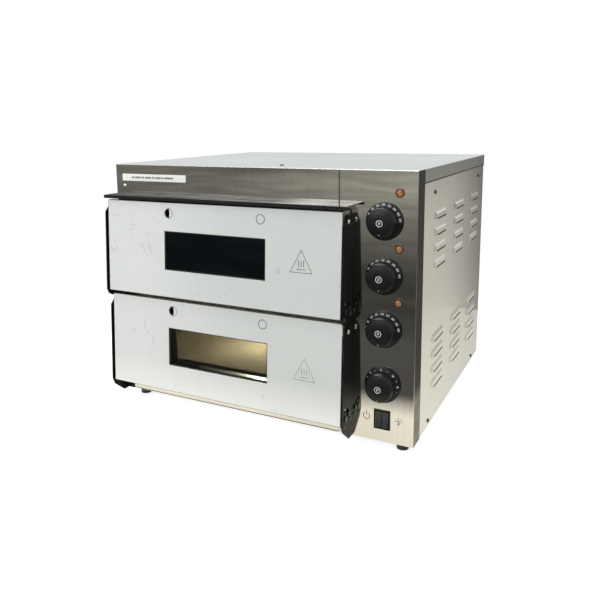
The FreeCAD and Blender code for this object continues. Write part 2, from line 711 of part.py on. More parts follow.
# ---------------------------------------------------------------- hinge side plates
def plate_outline(deck):
    """Side plate seen from the side, as (y, z): its front edge follows the leaning door."""
    base = DECKS[deck]
    top = base + DOOR_H
    front_low = (FRONTMOST, base + 1)
    front_high = (SKIN_Y_TOP - 2.2, top - 22)
    upper = [front_low, front_high, (-25.0, top - 13), (-18.0, top - PLATE_TOP_DROP),
             (0, top - PLATE_TOP_DROP)]
    if deck == "lower":
        under = LOWER_PLATE_UNDER
        return [(0, under), (-12.5, under), (-36.0, under + 19.5)] + upper
    under = DECKS["lower"] + DOOR_H - PLATE_TOP_DROP + 1.5
    return [(0, under), (-30.0, under), (-37.5, under + 5)] + upper


def arc_slot(centre, x0, x1):
    """Slot through the web, on an arc about the hinge pivot, that the guide pin runs in."""
    start = math.radians(GUIDE_START)
    end = math.radians(GUIDE_START + DOOR_SWING)
    middle = (start + end) / 2

    def at(radius, angle):
        return Vector(x0, centre[0] + radius * math.cos(angle), centre[1] + radius * math.sin(angle))

    def cap(angle, turn):
        along = Vector(0, -math.sin(angle), math.cos(angle)) * turn
        return at(GUIDE_RADIUS, angle) + along * GUIDE_SLOT_R

    outer = GUIDE_RADIUS + GUIDE_SLOT_R
    inner = GUIDE_RADIUS - GUIDE_SLOT_R
    edges = [
        Part.Arc(at(outer, start), at(outer, middle), at(outer, end)).toShape(),
        Part.Arc(at(outer, end), cap(end, 1), at(inner, end)).toShape(),
        Part.Arc(at(inner, end), at(inner, middle), at(inner, start)).toShape(),
        Part.Arc(at(inner, start), cap(start, -1), at(outer, start)).toShape(),
    ]
    return Part.Face(Part.Wire(edges)).extrude(Vector(x1 - x0, 0, 0))


def hinge_plate(deck, side):
    outline = plate_outline(deck)
    pivot, guide = hinge_points(DECKS[deck])
    face = PLATE_RIGHT_X if side > 0 else PLATE_LEFT_X
    web_x = sorted((face, face - side * PLATE_T))
    foot_x = sorted((face, face - side * PLATE_FOOT_W))
    web = prism_x(outline, web_x[0], web_x[1])
    low = outline[0][1]
    high = outline[-1][1]
    flange = box(foot_x[0], foot_x[1], -PLATE_FOOT_T, 0, max(low, 0), high)
    plate = union([web, flange])
    cut_x = (web_x[0] - 1, web_x[1] + 1)
    hole = rod(Vector(cut_x[0], pivot[0], pivot[1]), X_AXIS, PIVOT_R + PIVOT_CLEARANCE, cut_x[1] - cut_x[0])
    plate = plate.cut(hole).cut(arc_slot(pivot, cut_x[0], cut_x[1]))
    return plate.cut(screw_holes(plate_screw_seats() + plate_stop_seats()))


# ---------------------------------------------------------------- controls
def d_shaft(z, y0, y1, radius):
    shaft = rod(Vector(KNOB_X, y0, z), Y_AXIS, radius, y1 - y0)
    flat = box(KNOB_X - 5, KNOB_X + 5, y0 - 1, -2.0, z + SHAFT_FLAT, z + 5)
    return shaft.cut(flat)


def knob(z):
    """Round dial skirt with a sloping band for its scale and a domed grip, on a D-shaped bore."""
    edges = [
        line((0, SKIRT_BACK), (SKIRT_R, SKIRT_BACK)),
        line((SKIRT_R, SKIRT_BACK), (SKIRT_R, SKIRT_BACK - 1.5)),
        arc((SKIRT_R, SKIRT_BACK - 1.5), (SKIRT_R - 0.2, SKIRT_BACK - 2.1), (BAND_OUTER_R, BAND_OUTER_Y)),
        line((BAND_OUTER_R, BAND_OUTER_Y), (BAND_INNER_R, BAND_INNER_Y)),
        line((BAND_INNER_R, BAND_INNER_Y), (GRIP_R, GRIP_FRONT + 5)),
        arc((GRIP_R, GRIP_FRONT + 5), (GRIP_R - 0.9, GRIP_FRONT + 2.9), (GRIP_R - 3.2, GRIP_FRONT + 1.8)),
        arc((GRIP_R - 3.2, GRIP_FRONT + 1.8), (12.0, GRIP_FRONT + 0.4), (BADGE_R + 0.4, GRIP_FRONT)),
        line((BADGE_R + 0.4, GRIP_FRONT), (BADGE_R, GRIP_FRONT + BADGE_DEPTH)),
        line((BADGE_R, GRIP_FRONT + BADGE_DEPTH), (0, GRIP_FRONT + BADGE_DEPTH)),
        line((0, GRIP_FRONT + BADGE_DEPTH), (0, SKIRT_BACK)),
    ]
    return turned_edges(edges, Vector(KNOB_X, 0, z)).cut(d_shaft(z, SHAFT_FRONT, 0, SHAFT_R))


def switch_body(z, depth, half_width, drum):
    """Housing behind the control panel, with a running bore for the shaft."""
    front = SHEET + BRACKET_T
    back = front + depth
    bracket = box(KNOB_X - BRACKET_HALF_W, KNOB_X + BRACKET_HALF_W, SHEET, front,
                  z - BRACKET_HALF_H, z + BRACKET_HALF_H)
    case = box(KNOB_X - half_width, KNOB_X + half_width, front, back, z - half_width, z + half_width)
    case = round_edges(case, CASE_EDGE_R, lambda a, b: abs(a.x - b.x) < 0.01 and abs(a.z - b.z) < 0.01)
    tabs = []
    for x in (KNOB_X - TAB_SPACING / 2, KNOB_X + TAB_SPACING / 2):
        tabs.append(box(x - TAB_W / 2, x + TAB_W / 2, back, back + TAB_L,
                        z + TAB_HEIGHT, z + TAB_HEIGHT + TAB_T))
    shape = union([bracket, case, drum] + tabs)
    return shape.cut(rod(Vector(KNOB_X, 0, z), Y_AXIS, SHAFT_R + SHAFT_CLEARANCE, SHAFT_END + 0.5))


def probe_heights():
    """Height of each sensing bulb: upper roof, upper floor and lower floor."""
    return [DECKS["upper"] + ROOF_PROBE_HEIGHT, DECKS["upper"] + ELEMENT_HEIGHTS["bottom"],
            DECKS["lower"] + ELEMENT_HEIGHTS["bottom"]]


def rounded_path(corners, radius):
    """Straight runs joined by tangent arcs."""
    edges = []
    start = corners[0]
    for i in range(1, len(corners) - 1):
        into = (corners[i] - corners[i - 1]).normalize()
        out = (corners[i + 1] - corners[i]).normalize()
        a = corners[i] - into * radius
        b = corners[i] + out * radius
        centre = corners[i] + (out - into) * radius
        middle = centre + (corners[i] - centre).normalize() * radius
        edges.append(Part.LineSegment(start, a).toShape())
        edges.append(Part.Arc(a, middle, b).toShape())
        start = b
    edges.append(Part.LineSegment(start, corners[-1]).toShape())
    return Part.Wire(edges)


def sensing_tube(z, bulb_z):
    """Capillary from the back of a thermostat to its bulb in a chamber."""
    corners = [Vector(PROBE_X, PROBE_START_Y, z), Vector(PROBE_X, PROBE_Y, z)]
    if abs(z - bulb_z) > 1:
        corners.append(Vector(PROBE_X, PROBE_Y, bulb_z))
    corners.append(Vector(BULB_X1 - 1, PROBE_Y, bulb_z))
    section = Part.Wire(Part.Circle(corners[0], Y_AXIS, PROBE_R).toShape())
    tube = rounded_path(corners, PROBE_BEND).makePipeShell([section], True, True)
    bulb = rod(Vector(BULB_X0, PROBE_Y, bulb_z), X_AXIS, BULB_R, BULB_X1 - BULB_X0)
    return [tube, bulb]


def thermostat(z, bulb_z):
    drum = rod(Vector(KNOB_X, THERMOSTAT_DEPTH, z), Y_AXIS, THERMOSTAT_DRUM_R, THERMOSTAT_DRUM_L)
    body = switch_body(z, THERMOSTAT_DEPTH, THERMOSTAT_HALF_W, drum)
    start_z = bulb_z if abs(z - bulb_z) < SAME_HEIGHT else z
    return union([body] + sensing_tube(start_z, bulb_z))


def timer(z):
    back = SHEET + BRACKET_T + TIMER_DEPTH
    bell = Part.makeSphere(TIMER_BELL_R, Vector(KNOB_X, back - 0.5, z), Y_AXIS, 0, 90, 360)
    return switch_body(z, TIMER_DEPTH, TIMER_HALF_W, bell)


def indicator_body(z):
    profile = [(LENS_POCKET_R, -BEZEL_T), (BEZEL_R - 0.6, -BEZEL_T), (BEZEL_R, 0.8 - BEZEL_T), (BEZEL_R, 0),
               (BARREL_R, 0), (BARREL_R, BARREL_L), (0, BARREL_L), (0, LENS_POCKET_L),
               (LENS_POCKET_R, LENS_POCKET_L)]
    return turned(profile, Vector(LAMP_LIGHT_X, 0, z))


def indicator_lens(z):
    shoulder = -BEZEL_T - 0.2
    edges = [
        line((0, LENS_POCKET_L), (LENS_POCKET_R, LENS_POCKET_L)),
        line((LENS_POCKET_R, LENS_POCKET_L), (LENS_POCKET_R, shoulder)),
        dome(LENS_POCKET_R, shoulder, shoulder - LENS_DOME_H),
        line((0, shoulder - LENS_DOME_H), (0, LENS_POCKET_L)),
    ]
    return turned_edges(edges, Vector(LAMP_LIGHT_X, 0, z))


def switch_centre():
    return (SWITCH_X0 + SWITCH_X1) / 2, (SWITCH_Z0 + SWITCH_Z1) / 2


def switch_housing():
    x, z = switch_centre()
    bezel = box(SWITCH_X0, SWITCH_X1, -SWITCH_BEZEL_T, 0, SWITCH_Z0, SWITCH_Z1)
    bezel = round_edges(bezel, 1.0, lambda a, b: a.y + b.y < -2 * SWITCH_BEZEL_T + 0.1)
    barrel = box(SWITCH_X0 + SWITCH_STEP, SWITCH_X1 - SWITCH_STEP, 0, SWITCH_DEPTH,
                 SWITCH_Z0 + SWITCH_STEP, SWITCH_Z1 - SWITCH_STEP)
    half_w = ROCKER_W + ROCKER_GAP
    half_h = ROCKER_HALF_H + POCKET_GAP
    pocket = box(x - half_w, x + half_w, -SWITCH_BEZEL_T - 1, POCKET_DEPTH, z - half_h, z + half_h)
    tabs = []
    for tab_x in (x - SWITCH_TAB_X, x + SWITCH_TAB_X):
        for tab_z in (z - SWITCH_TAB_Z, z + SWITCH_TAB_Z):
            tabs.append(box(tab_x - TAB_T / 2, tab_x + TAB_T / 2, SWITCH_DEPTH, SWITCH_DEPTH + TAB_L,
                            tab_z - TAB_W / 2, tab_z + TAB_W / 2))
    return union([bezel, barrel] + tabs).cut(pocket)


def rocker(side):
    """Rocker with its upper half pressed in."""
    x, z = switch_centre()
    middle = x + side * (ROCKER_W + ROCKER_GAP) / 2
    high = ROCKER_HALF_H
    outline = [(ROCKER_TIP_Y, z - high), (ROCKER_WAIST_Y, z), (ROCKER_TIP_Y, z + high), (5, z + high),
               (ROCKER_BACK_Y, z + 7), (ROCKER_BACK_Y, z - 7), (5, z - high)]
    block = prism_x(outline, middle - ROCKER_W / 2, middle + ROCKER_W / 2)
    block.rotate(Vector(middle, ROCKER_PIVOT_Y, z), X_AXIS, ROCKER_TILT)
    return block


# ---------------------------------------------------------------- supply side
def cable_gland():
    seat = BODY_D - SHEET
    cap_r = GLAND_BODY_R - 1
    profile = [(GLAND_BORE_R, -GLAND_IN), (GLAND_THREAD_R, -GLAND_IN), (GLAND_THREAD_R, 0), (GLAND_BODY_R, 0),
               (GLAND_BODY_R, GLAND_CAP_START), (cap_r, GLAND_CAP_START + 1), (cap_r, GLAND_CAP_END),
               (GLAND_MOUTH_R, GLAND_OUT), (GLAND_BORE_R, GLAND_OUT)]
    return turned([(radius, y + seat) for radius, y in profile], Vector(GLAND_X, 0, GLAND_Z))


def terminal_block():
    x0 = SEAM_X + SHEET / 2
    x1 = x0 + BLOCK_OUT
    block = box(x0, x1, BLOCK_Y, BLOCK_Y + BLOCK_L, BLOCK_Z, BLOCK_Z + BLOCK_H)
    wells = []
    for i in range(BLOCK_WAYS):
        y = BLOCK_Y + BLOCK_L / 2 + (i - (BLOCK_WAYS - 1) / 2) * BLOCK_PITCH
        for z in (BLOCK_Z + BLOCK_H / 4, BLOCK_Z + BLOCK_H * 3 / 4):
            wells.append(rod(Vector(x1 - BLOCK_WELL, y, z), X_AXIS, BLOCK_WELL_R, BLOCK_WELL + 1))
    return block.cut(Part.makeCompound(wells))


# ---------------------------------------------------------------- write every node
def main():
    os.makedirs("parts", exist_ok=True)
    export("base_pan", base_pan())
    export("rear_panel", rear_panel())
    export("left_side_panel", left_side_panel())
    export("right_side_panel", right_side_panel())
    export("top_cover", top_cover())
    export("front_frame", front_frame())
    export("control_panel", control_panel())
    export("front_lip", front_lip())
    export("control_partition", control_partition())
    export("feet", Part.makeCompound(feet()))
    export("insulation_boards", Part.makeCompound(insulation_boards()))
    export("case_screws", Part.makeCompound(screws(casing_screw_seats(), SCREW_L)))
    plate_screws = screws(plate_screw_seats(), SCREW_L) + screws(plate_stop_seats(), SHORT_SCREW_L)
    export("plate_screws", Part.makeCompound(plate_screws))
    export("chamber_lamp_holders", Part.makeCompound([lamp_holder(base) for base in DECKS.values()]))
    export("chamber_lamp_lenses", Part.makeCompound([lamp_lens(base) for base in DECKS.values()]))
    for deck, base in DECKS.items():
        export(deck + "_chamber_liner", chamber_liner(base))
        export(deck + "_hearth_stone", hearth_stone(base))
        for name, height in ELEMENT_HEIGHTS.items():
            export(deck + "_" + name + "_element", heating_element(base, height))
        export(deck + "_left_hinge_plate", hinge_plate(deck, -1))
        export(deck + "_right_hinge_plate", hinge_plate(deck, 1))
        export(deck + "_door_skin", door_skin(base))
        export(deck + "_door_inner_panel", door_inner_panel(base))
        export(deck + "_door_gasket", door_gasket(base))
        export(deck + "_door_glass", door_glass(base))
        export(deck + "_door_pins", Part.makeCompound(door_pins(base)))
    for i, z in enumerate(KNOB_HEIGHTS[:3]):
        export("thermostat_%d" % (i + 1), thermostat(z, probe_heights()[i]))
    export("timer", timer(KNOB_HEIGHTS[3]))
    for i, z in enumerate(KNOB_HEIGHTS):
        export("control_shaft_%d" % (i + 1), d_shaft(z, SHAFT_FRONT, SHAFT_END, SHAFT_R))
        export("control_knob_%d" % (i + 1), knob(z))
    for i, z in enumerate(LAMP_LIGHT_HEIGHTS):
        export("indicator_body_%d" % (i + 1), indicator_body(z))
        export("indicator_lens_%d" % (i + 1), indicator_lens(z))
    export("switch_housing", switch_housing())
    export("power_rocker", rocker(-1))
    export("lamp_rocker", rocker(1))
    export("cable_gland", cable_gland())
    export("terminal_block", terminal_block())


main()
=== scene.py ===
import json
import math

import bpy
from mathutils import Matrix
from mathutils import Vector


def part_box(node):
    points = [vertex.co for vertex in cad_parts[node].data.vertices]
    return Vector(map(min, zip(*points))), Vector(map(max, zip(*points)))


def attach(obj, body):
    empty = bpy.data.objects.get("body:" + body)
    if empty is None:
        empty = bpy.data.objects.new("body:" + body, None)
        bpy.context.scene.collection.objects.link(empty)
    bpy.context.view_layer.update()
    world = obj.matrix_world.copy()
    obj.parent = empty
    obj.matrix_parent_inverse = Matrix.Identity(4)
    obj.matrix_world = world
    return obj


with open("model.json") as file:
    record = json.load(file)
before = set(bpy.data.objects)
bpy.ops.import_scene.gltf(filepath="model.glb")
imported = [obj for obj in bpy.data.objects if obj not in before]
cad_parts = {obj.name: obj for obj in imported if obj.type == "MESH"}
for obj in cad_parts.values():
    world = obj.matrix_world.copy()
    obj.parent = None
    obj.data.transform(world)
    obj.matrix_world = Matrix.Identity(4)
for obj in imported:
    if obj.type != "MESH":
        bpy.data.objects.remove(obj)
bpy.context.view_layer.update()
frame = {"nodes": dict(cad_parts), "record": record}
nodes = frame["nodes"]
record = frame["record"]
SLOT_OF_NODE = {part["node"]: part["material_slot"] for part in record["subparts"]}

MM = 0.001
DECKS = ("lower", "upper")


# ---------------------------------------------------------------- shader helpers
class Shader:
    """A Principled material whose texture nodes read the coordinates that move with the object."""

    def __init__(self, name):
        self.material = bpy.data.materials.new(name)
        self.material.use_nodes = True
        self.tree = self.material.node_tree
        self.tree.nodes.clear()
        self.output = self.node("ShaderNodeOutputMaterial")
        self.surface = self.node("ShaderNodeBsdfPrincipled")
        self.link(self.surface.outputs["BSDF"], self.output.inputs["Surface"])
        self.place = self.node("ShaderNodeTexCoord").outputs["Object"]

    def node(self, kind, **settings):
        made = self.tree.nodes.new(kind)
        for key, value in settings.items():
            setattr(made, key, value)
        return made

    def link(self, source, target):
        self.tree.links.new(source, target)

    def put(self, socket, value):
        if isinstance(value, bpy.types.NodeSocket):
            self.link(value, socket)
        else:
            socket.default_value = value

    def set(self, **values):
        names = {"color": "Base Color", "metallic": "Metallic", "roughness": "Roughness",
                 "normal": "Normal", "anisotropic": "Anisotropic",
                 "tangent": "Tangent", "transmission": "Transmission Weight", "ior": "IOR",
                 "coat": "Coat Weight", "coat_roughness": "Coat Roughness", "specular": "Specular IOR Level",
                 "glow": "Emission Color", "glow_strength": "Emission Strength", "alpha": "Alpha",
                 "sheen": "Sheen Weight", "subsurface": "Subsurface Weight", "edge_tint": "Specular Tint"}
        for key, value in values.items():
            self.put(self.surface.inputs[names[key]], value)
        return self

    def colour(self):
        return self.surface.inputs["Base Color"].links[0].from_socket

    def stretched(self, scale):
        mapping = self.node("ShaderNodeMapping")
        self.link(self.place, mapping.inputs["Vector"])
        mapping.inputs["Scale"].default_value = scale
        return mapping.outputs["Vector"]

    def noise(self, scale, detail=3.0, roughness=0.55, distortion=0.0):
        """Noise whose scale is given per metre along X, Y and Z."""
        if not isinstance(scale, tuple):
            scale = (scale, scale, scale)
        texture = self.node("ShaderNodeTexNoise")
        self.link(self.stretched(scale), texture.inputs["Vector"])
        texture.inputs["Scale"].default_value = 1.0
        texture.inputs["Detail"].default_value = detail
        texture.inputs["Roughness"].default_value = roughness
        texture.inputs["Distortion"].default_value = distortion
        return texture.outputs["Fac"]

    def cells(self, scale, feature="F1"):
        texture = self.node("ShaderNodeTexVoronoi", feature=feature)
        self.link(self.stretched((scale, scale, scale)), texture.inputs["Vector"])
        texture.inputs["Scale"].default_value = 1.0
        return texture.outputs["Distance"]

    def ramp(self, value, stops):
        """Values or colours at stated positions of an input."""
        node = self.node("ShaderNodeValToRGB")
        self.link(value, node.inputs["Fac"])
        entries = node.color_ramp.elements
        while len(entries) < len(stops):
            entries.new(0.5)
        for entry, (position, shade) in zip(entries, stops):
            entry.position = position
            entry.color = shade + (1.0,) if isinstance(shade, tuple) else (shade, shade, shade, 1.0)
        return node.outputs["Color"]

    def span(self, value, low, high, start=0.0, end=1.0):
        node = self.node("ShaderNodeMapRange")
        self.put(node.inputs["Value"], value)
        node.inputs["From Min"].default_value = low
        node.inputs["From Max"].default_value = high
        node.inputs["To Min"].default_value = start
        node.inputs["To Max"].default_value = end
        return node.outputs["Result"]

    def sum(self, operation, a, b):
        node = self.node("ShaderNodeMath", operation=operation)
        self.put(node.inputs[0], a)
        self.put(node.inputs[1], b)
        return node.outputs["Value"]

    def mix(self, share, a, b):
        node = self.node("ShaderNodeMix", data_type="RGBA")
        self.put(node.inputs[0], share)
        self.put(node.inputs[6], a + (1.0,) if isinstance(a, tuple) else a)
        self.put(node.inputs[7], b + (1.0,) if isinstance(b, tuple) else b)
        return node.outputs[2]

    def axis(self, name):
        node = self.node("ShaderNodeSeparateXYZ")
        self.link(self.place, node.inputs["Vector"])
        return node.outputs[name]

    def bump(self, height, distance, strength=1.0, under=None):
        node = self.node("ShaderNodeBump")
        self.link(height, node.inputs["Height"])
        node.inputs["Distance"].default_value = distance
        node.inputs["Strength"].default_value = strength
        if under is not None:
            self.link(under, node.inputs["Normal"])
        return node.outputs["Normal"]

    def soft_edges(self, radius):
        node = self.node("ShaderNodeBevel", samples=4)
        node.inputs["Radius"].default_value = radius
        return node.outputs["Normal"]

    def worn_edges(self, radius):
        """1 at sharp outer edges and 0 elsewhere, from how far the rounded normal turns."""
        rounded = self.soft_edges(radius)
        plain = self.node("ShaderNodeNewGeometry").outputs["Normal"]
        dot = self.node("ShaderNodeVectorMath", operation="DOT_PRODUCT")
        self.link(rounded, dot.inputs[0])
        self.link(plain, dot.inputs[1])
        return self.span(dot.outputs["Value"], 0.98, 0.85)


def brushed(name, light, dark, grain, rough, wave=0.0005, anisotropic=0.6):
    """Steel sheet brushed along one axis: grain is the noise scale per metre along X, Y and Z."""
    s = Shader(name)
    streaks = s.noise(grain, detail=4.0, roughness=0.7)
    patches = s.noise(6.0, detail=2.0)
    smudge = s.noise(23.0, detail=5.0, roughness=0.65, distortion=0.6)
    shade = s.mix(s.span(streaks, 0.3, 0.7), dark, light)
    shade = s.mix(s.span(patches, 0.35, 0.75, 0.0, 0.18), shade, dark)
    polish = s.span(streaks, 0.25, 0.75, rough * 0.85, rough * 1.2)
    polish = s.sum("ADD", polish, s.span(smudge, 0.5, 0.8, 0.0, 0.35 * rough))
    normal = s.bump(s.noise((7.0, 7.0, 9.0), detail=1.0), wave, under=s.soft_edges(0.5 * MM))
    normal = s.bump(s.noise((26.0, 26.0, 15.0), detail=1.0), wave * 0.12, under=normal)
    normal = s.bump(streaks, 0.00002, strength=0.25, under=normal)
    tangent = s.node("ShaderNodeTangent", direction_type="RADIAL", axis="Z")
    s.set(color=shade, metallic=1.0, roughness=polish, normal=normal, anisotropic=anisotropic,
          tangent=tangent.outputs["Tangent"])
    return s


def painted_over(s, where, shade):
    """Paints a dark, matt colour over part of a brushed sheet, for painted shade and painted reflection:
    where is 1 on that part.
    """
    polish = s.surface.inputs["Roughness"].links[0].from_socket
    rest = s.sum("SUBTRACT", 1.0, where)
    s.set(color=s.mix(where, s.colour(), shade), metallic=rest,
          roughness=s.sum("MAXIMUM", polish, s.sum("MULTIPLY", where, 0.6)))
    return s


def plastic(name, light, dark, rough, grain=900.0, depth=0.00004, radius=0.4, specular=0.5):
    """Moulded plastic or rubber with a fine texture and slightly rubbed patches."""
    s = Shader(name)
    rub = s.noise(60.0, detail=4.0, roughness=0.6)
    dust = s.noise(240.0, detail=5.0, roughness=0.7)
    shade = s.mix(s.span(rub, 0.4, 0.75), dark, light)
    shade = s.mix(s.span(dust, 0.62, 0.8, 0.0, 0.25), shade, tuple(min(1.0, c * 2.2 + 0.02) for c in light))
    polish = s.span(rub, 0.3, 0.75, rough * 1.15, rough * 0.85)
    normal = s.bump(s.noise(grain, detail=2.0), depth, under=s.soft_edges(radius * MM))
    s.set(color=shade, roughness=polish, normal=normal, specular=specular)
    return s


# ---------------------------------------------------------------- materials by slot of the record
# Grain of each finish: noise scale per metre along X, Y and Z.
VERTICAL = (900.0, 900.0, 6.0)
LENGTHWISE = (6.0, 500.0, 900.0)
FINE = (700.0, 700.0, 700.0)
SPECKLED = (800.0, 800.0, 800.0)
ALONG_SHAFT = (60.0, 900.0, 60.0)
SIDE_SHADE_START = 60 * MM
COVER_HEM = 2.4 * MM
WINDOW_RETURN_FADE = 60 * MM
PLATE_WEB_DEPTH = 32 * MM
STOP_SCREW_LOW = 17 * MM
STOP_SCREW_HIGH = 5 * MM
LIP_SHADE_START = 330 * MM
LIP_SHADE_END = 40 * MM
CHAMBER_SHADE_DEPTH = 135 * MM


# Moulded parts by slot: light and dark shade, roughness, and what differs from plain plastic.
MOULDED = {
    "gasket_rubber": ((0.022, 0.022, 0.022), (0.012, 0.012, 0.012), 0.62, {}),
    "rubber": ((0.030, 0.029, 0.028), (0.014, 0.014, 0.014), 0.72, {}),
    "knob_plastic": ((0.009, 0.0105, 0.0105), (0.005, 0.006, 0.006), 0.36, {"radius": 0.6, "specular": 0.25}),
    "switch_plastic": ((0.012, 0.012, 0.012), (0.006, 0.006, 0.006), 0.36, {"specular": 0.3}),
    "rocker_plastic": ((0.016, 0.016, 0.017), (0.009, 0.009, 0.009), 0.22, {"depth": 0.00001}),
    "gland_plastic": ((0.030, 0.030, 0.030), (0.016, 0.016, 0.016), 0.55, {}),
    "control_body": ((0.50, 0.49, 0.46), (0.34, 0.33, 0.31), 0.50, {}),
    "indicator_rim": ((0.085, 0.036, 0.016), (0.045, 0.02, 0.01), 0.30, {"depth": 0.00002}),
}


def edge_mask(s, axis, edge, width=0.4 * MM):
    """1 beyond a place on one axis, fading in over the width before it."""
    return s.span(s.axis(axis), edge - width, edge)


def brushed_casing():
    """Polished front sheets. The narrow return at the right corner carries a painted reflection: dark, with a
    lighter foot.
    """
    s = brushed("brushed_casing", (0.74, 0.725, 0.68), (0.64, 0.62, 0.57), VERTICAL, 0.05, anisotropic=0.8)
    low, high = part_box("control_panel")
    height = s.span(s.axis("Z"), low.z, high.z)
    grime = s.noise(40.0, detail=4.0)
    # Painted reflection on the corner return, by height: a lighter foot, near black above it.
    stain_and_painted_reflection = s.ramp(height, [(0.0, (0.27, 0.245, 0.20)), (0.17, (0.23, 0.21, 0.165)),
                            (0.22, (0.022, 0.022, 0.014)), (0.40, (0.012, 0.012, 0.008)),
                            (0.62, (0.026, 0.024, 0.017)), (1.0, (0.030, 0.030, 0.026))])
    stain_and_painted_reflection = s.mix(s.span(grime, 0.35, 0.75, 0.0, 0.35), stain_and_painted_reflection, (0.010, 0.010, 0.008))
    return painted_over(s, edge_mask(s, "X", high.x - 0.2 * MM), stain_and_painted_reflection)


def satin_casing():
    """Side panels: painted shade greyer towards the back, a painted highlight on the louvre hood faces, and
    painted shadow dark on their lips.
    """
    s = brushed("satin_casing", (0.74, 0.73, 0.69), (0.65, 0.64, 0.60), VERTICAL, 0.13, wave=0.0006)
    low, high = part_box("right_side_panel")
    # Painted shade: the side panel turns greyer towards the back.
    back_shade = s.span(s.axis("Y"), low.y + SIDE_SHADE_START, high.y, 0.06, 0.80)
    s.set(color=s.mix(back_shade, s.colour(), (0.30, 0.30, 0.285)), specular=0.1)
    # Painted highlight: the louvre hood faces are paler.
    plane = max(v.co.x for v in nodes["right_side_panel"].data.vertices if v.co.y < low.y + 1 * MM)
    hood_highlight = s.span(s.axis("X"), plane + 0.2 * MM, plane + 0.7 * MM, 0.0, 0.6)
    s.set(color=s.mix(hood_highlight, s.colour(), (0.90, 0.885, 0.83)))
    # Painted shadow: the outermost lips of the louvres are dark.
    return painted_over(s, edge_mask(s, "X", high.x - 0.15 * MM, 0.2 * MM), (0.05, 0.046, 0.036))


def cover_steel():
    """Top cover: greyer on its side flange, with a dark painted shadow along the hem at the flange's lower
    edge.
    """
    s = brushed("cover_steel", (0.83, 0.86, 0.83), (0.76, 0.785, 0.76), LENGTHWISE, 0.24,
                wave=0.0004, anisotropic=0.3)
    low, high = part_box("top_cover")
    colour = s.colour()
    flange = edge_mask(s, "X", high.x - 0.2 * MM)
    # Painted shadow: a dark band along the flange's lower edge.
    hem = s.span(s.axis("Z"), low.z + COVER_HEM, low.z + COVER_HEM - 0.5 * MM)
    shade = s.mix(flange, colour, s.mix(hem, (0.34, 0.34, 0.32), (0.012, 0.012, 0.010)))
    return s.set(color=shade, metallic=s.sum("SUBTRACT", 1.0, s.sum("MULTIPLY", flange, hem)), specular=0.05)


def inner_steel():
    """Inner door panels, with painted shade darkening the return at the left of the window."""
    s = brushed("inner_steel", (0.66, 0.65, 0.62), (0.52, 0.51, 0.48), LENGTHWISE, 0.34)
    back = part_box("lower_door_inner_panel")[1].y
    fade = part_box("lower_door_glass")[0].x + WINDOW_RETURN_FADE
    # Painted shade: the return at the left of the window is dark.
    window_return_shade = s.sum("MULTIPLY", s.span(s.axis("Y"), back - 0.4 * MM, back - 1.2 * MM),
                s.span(s.axis("X"), fade, fade - 10 * MM))
    s.set(specular=0.1)
    return painted_over(s, window_return_shade, (0.02, 0.018, 0.015))


def screw_steel():
    """Dark screws, with a painted highlight making the casing screw at the front and the top screw in each
    plate web bright.
    """
    s = brushed("screw_steel", (0.13, 0.125, 0.115), (0.06, 0.058, 0.052), SPECKLED, 0.30)
    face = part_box("front_frame")[0].y
    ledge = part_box("front_lip")[1].z
    # Painted highlight on the bright screw heads.
    bright = s.sum("MULTIPLY", s.span(s.axis("Y"), face + 4 * MM, face + 3 * MM),
                   s.span(s.axis("Z"), ledge + 1 * MM, ledge + 2 * MM))
    colour = s.colour()
    web_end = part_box("upper_right_hinge_plate")[0].y + PLATE_WEB_DEPTH
    for deck in DECKS:
        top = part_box(deck + "_right_hinge_plate")[1].z
        level = s.sum("MULTIPLY", s.span(s.axis("Z"), top - STOP_SCREW_LOW, top - STOP_SCREW_LOW + 1 * MM),
                      s.span(s.axis("Z"), top - STOP_SCREW_HIGH, top - STOP_SCREW_HIGH - 1 * MM))
        web = s.span(s.axis("Y"), web_end, web_end - 1 * MM)
        bright = s.sum("MAXIMUM", bright, s.sum("MULTIPLY", level, web))
    return s.set(color=s.mix(bright, colour, (0.85, 0.84, 0.80)))


def lip_steel():
    """Ledge over the upper door, with painted shade darkening it towards its left and along its front edge.
    """
    s = brushed("lip_steel", (0.50, 0.49, 0.455), (0.36, 0.355, 0.33), LENGTHWISE, 0.12)
    low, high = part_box("front_lip")
    # Painted shade: the ledge darkens towards its left.
    left_shade = s.span(s.axis("X"), low.x + LIP_SHADE_START, high.x - LIP_SHADE_END, 0.93, 0.30)
    left_shade = s.sum("ADD", left_shade, s.span(s.noise(14.0, detail=4.0), 0.3, 0.7, -0.08, 0.08))
    # Painted shade along the ledge's front edge.
    edge = s.span(s.axis("Y"), low.y + 1.4 * MM, low.y + 0.9 * MM)
    s.set(specular=0.25)
    return painted_over(s, s.sum("MAXIMUM", left_shade, edge), (0.010, 0.010, 0.010))


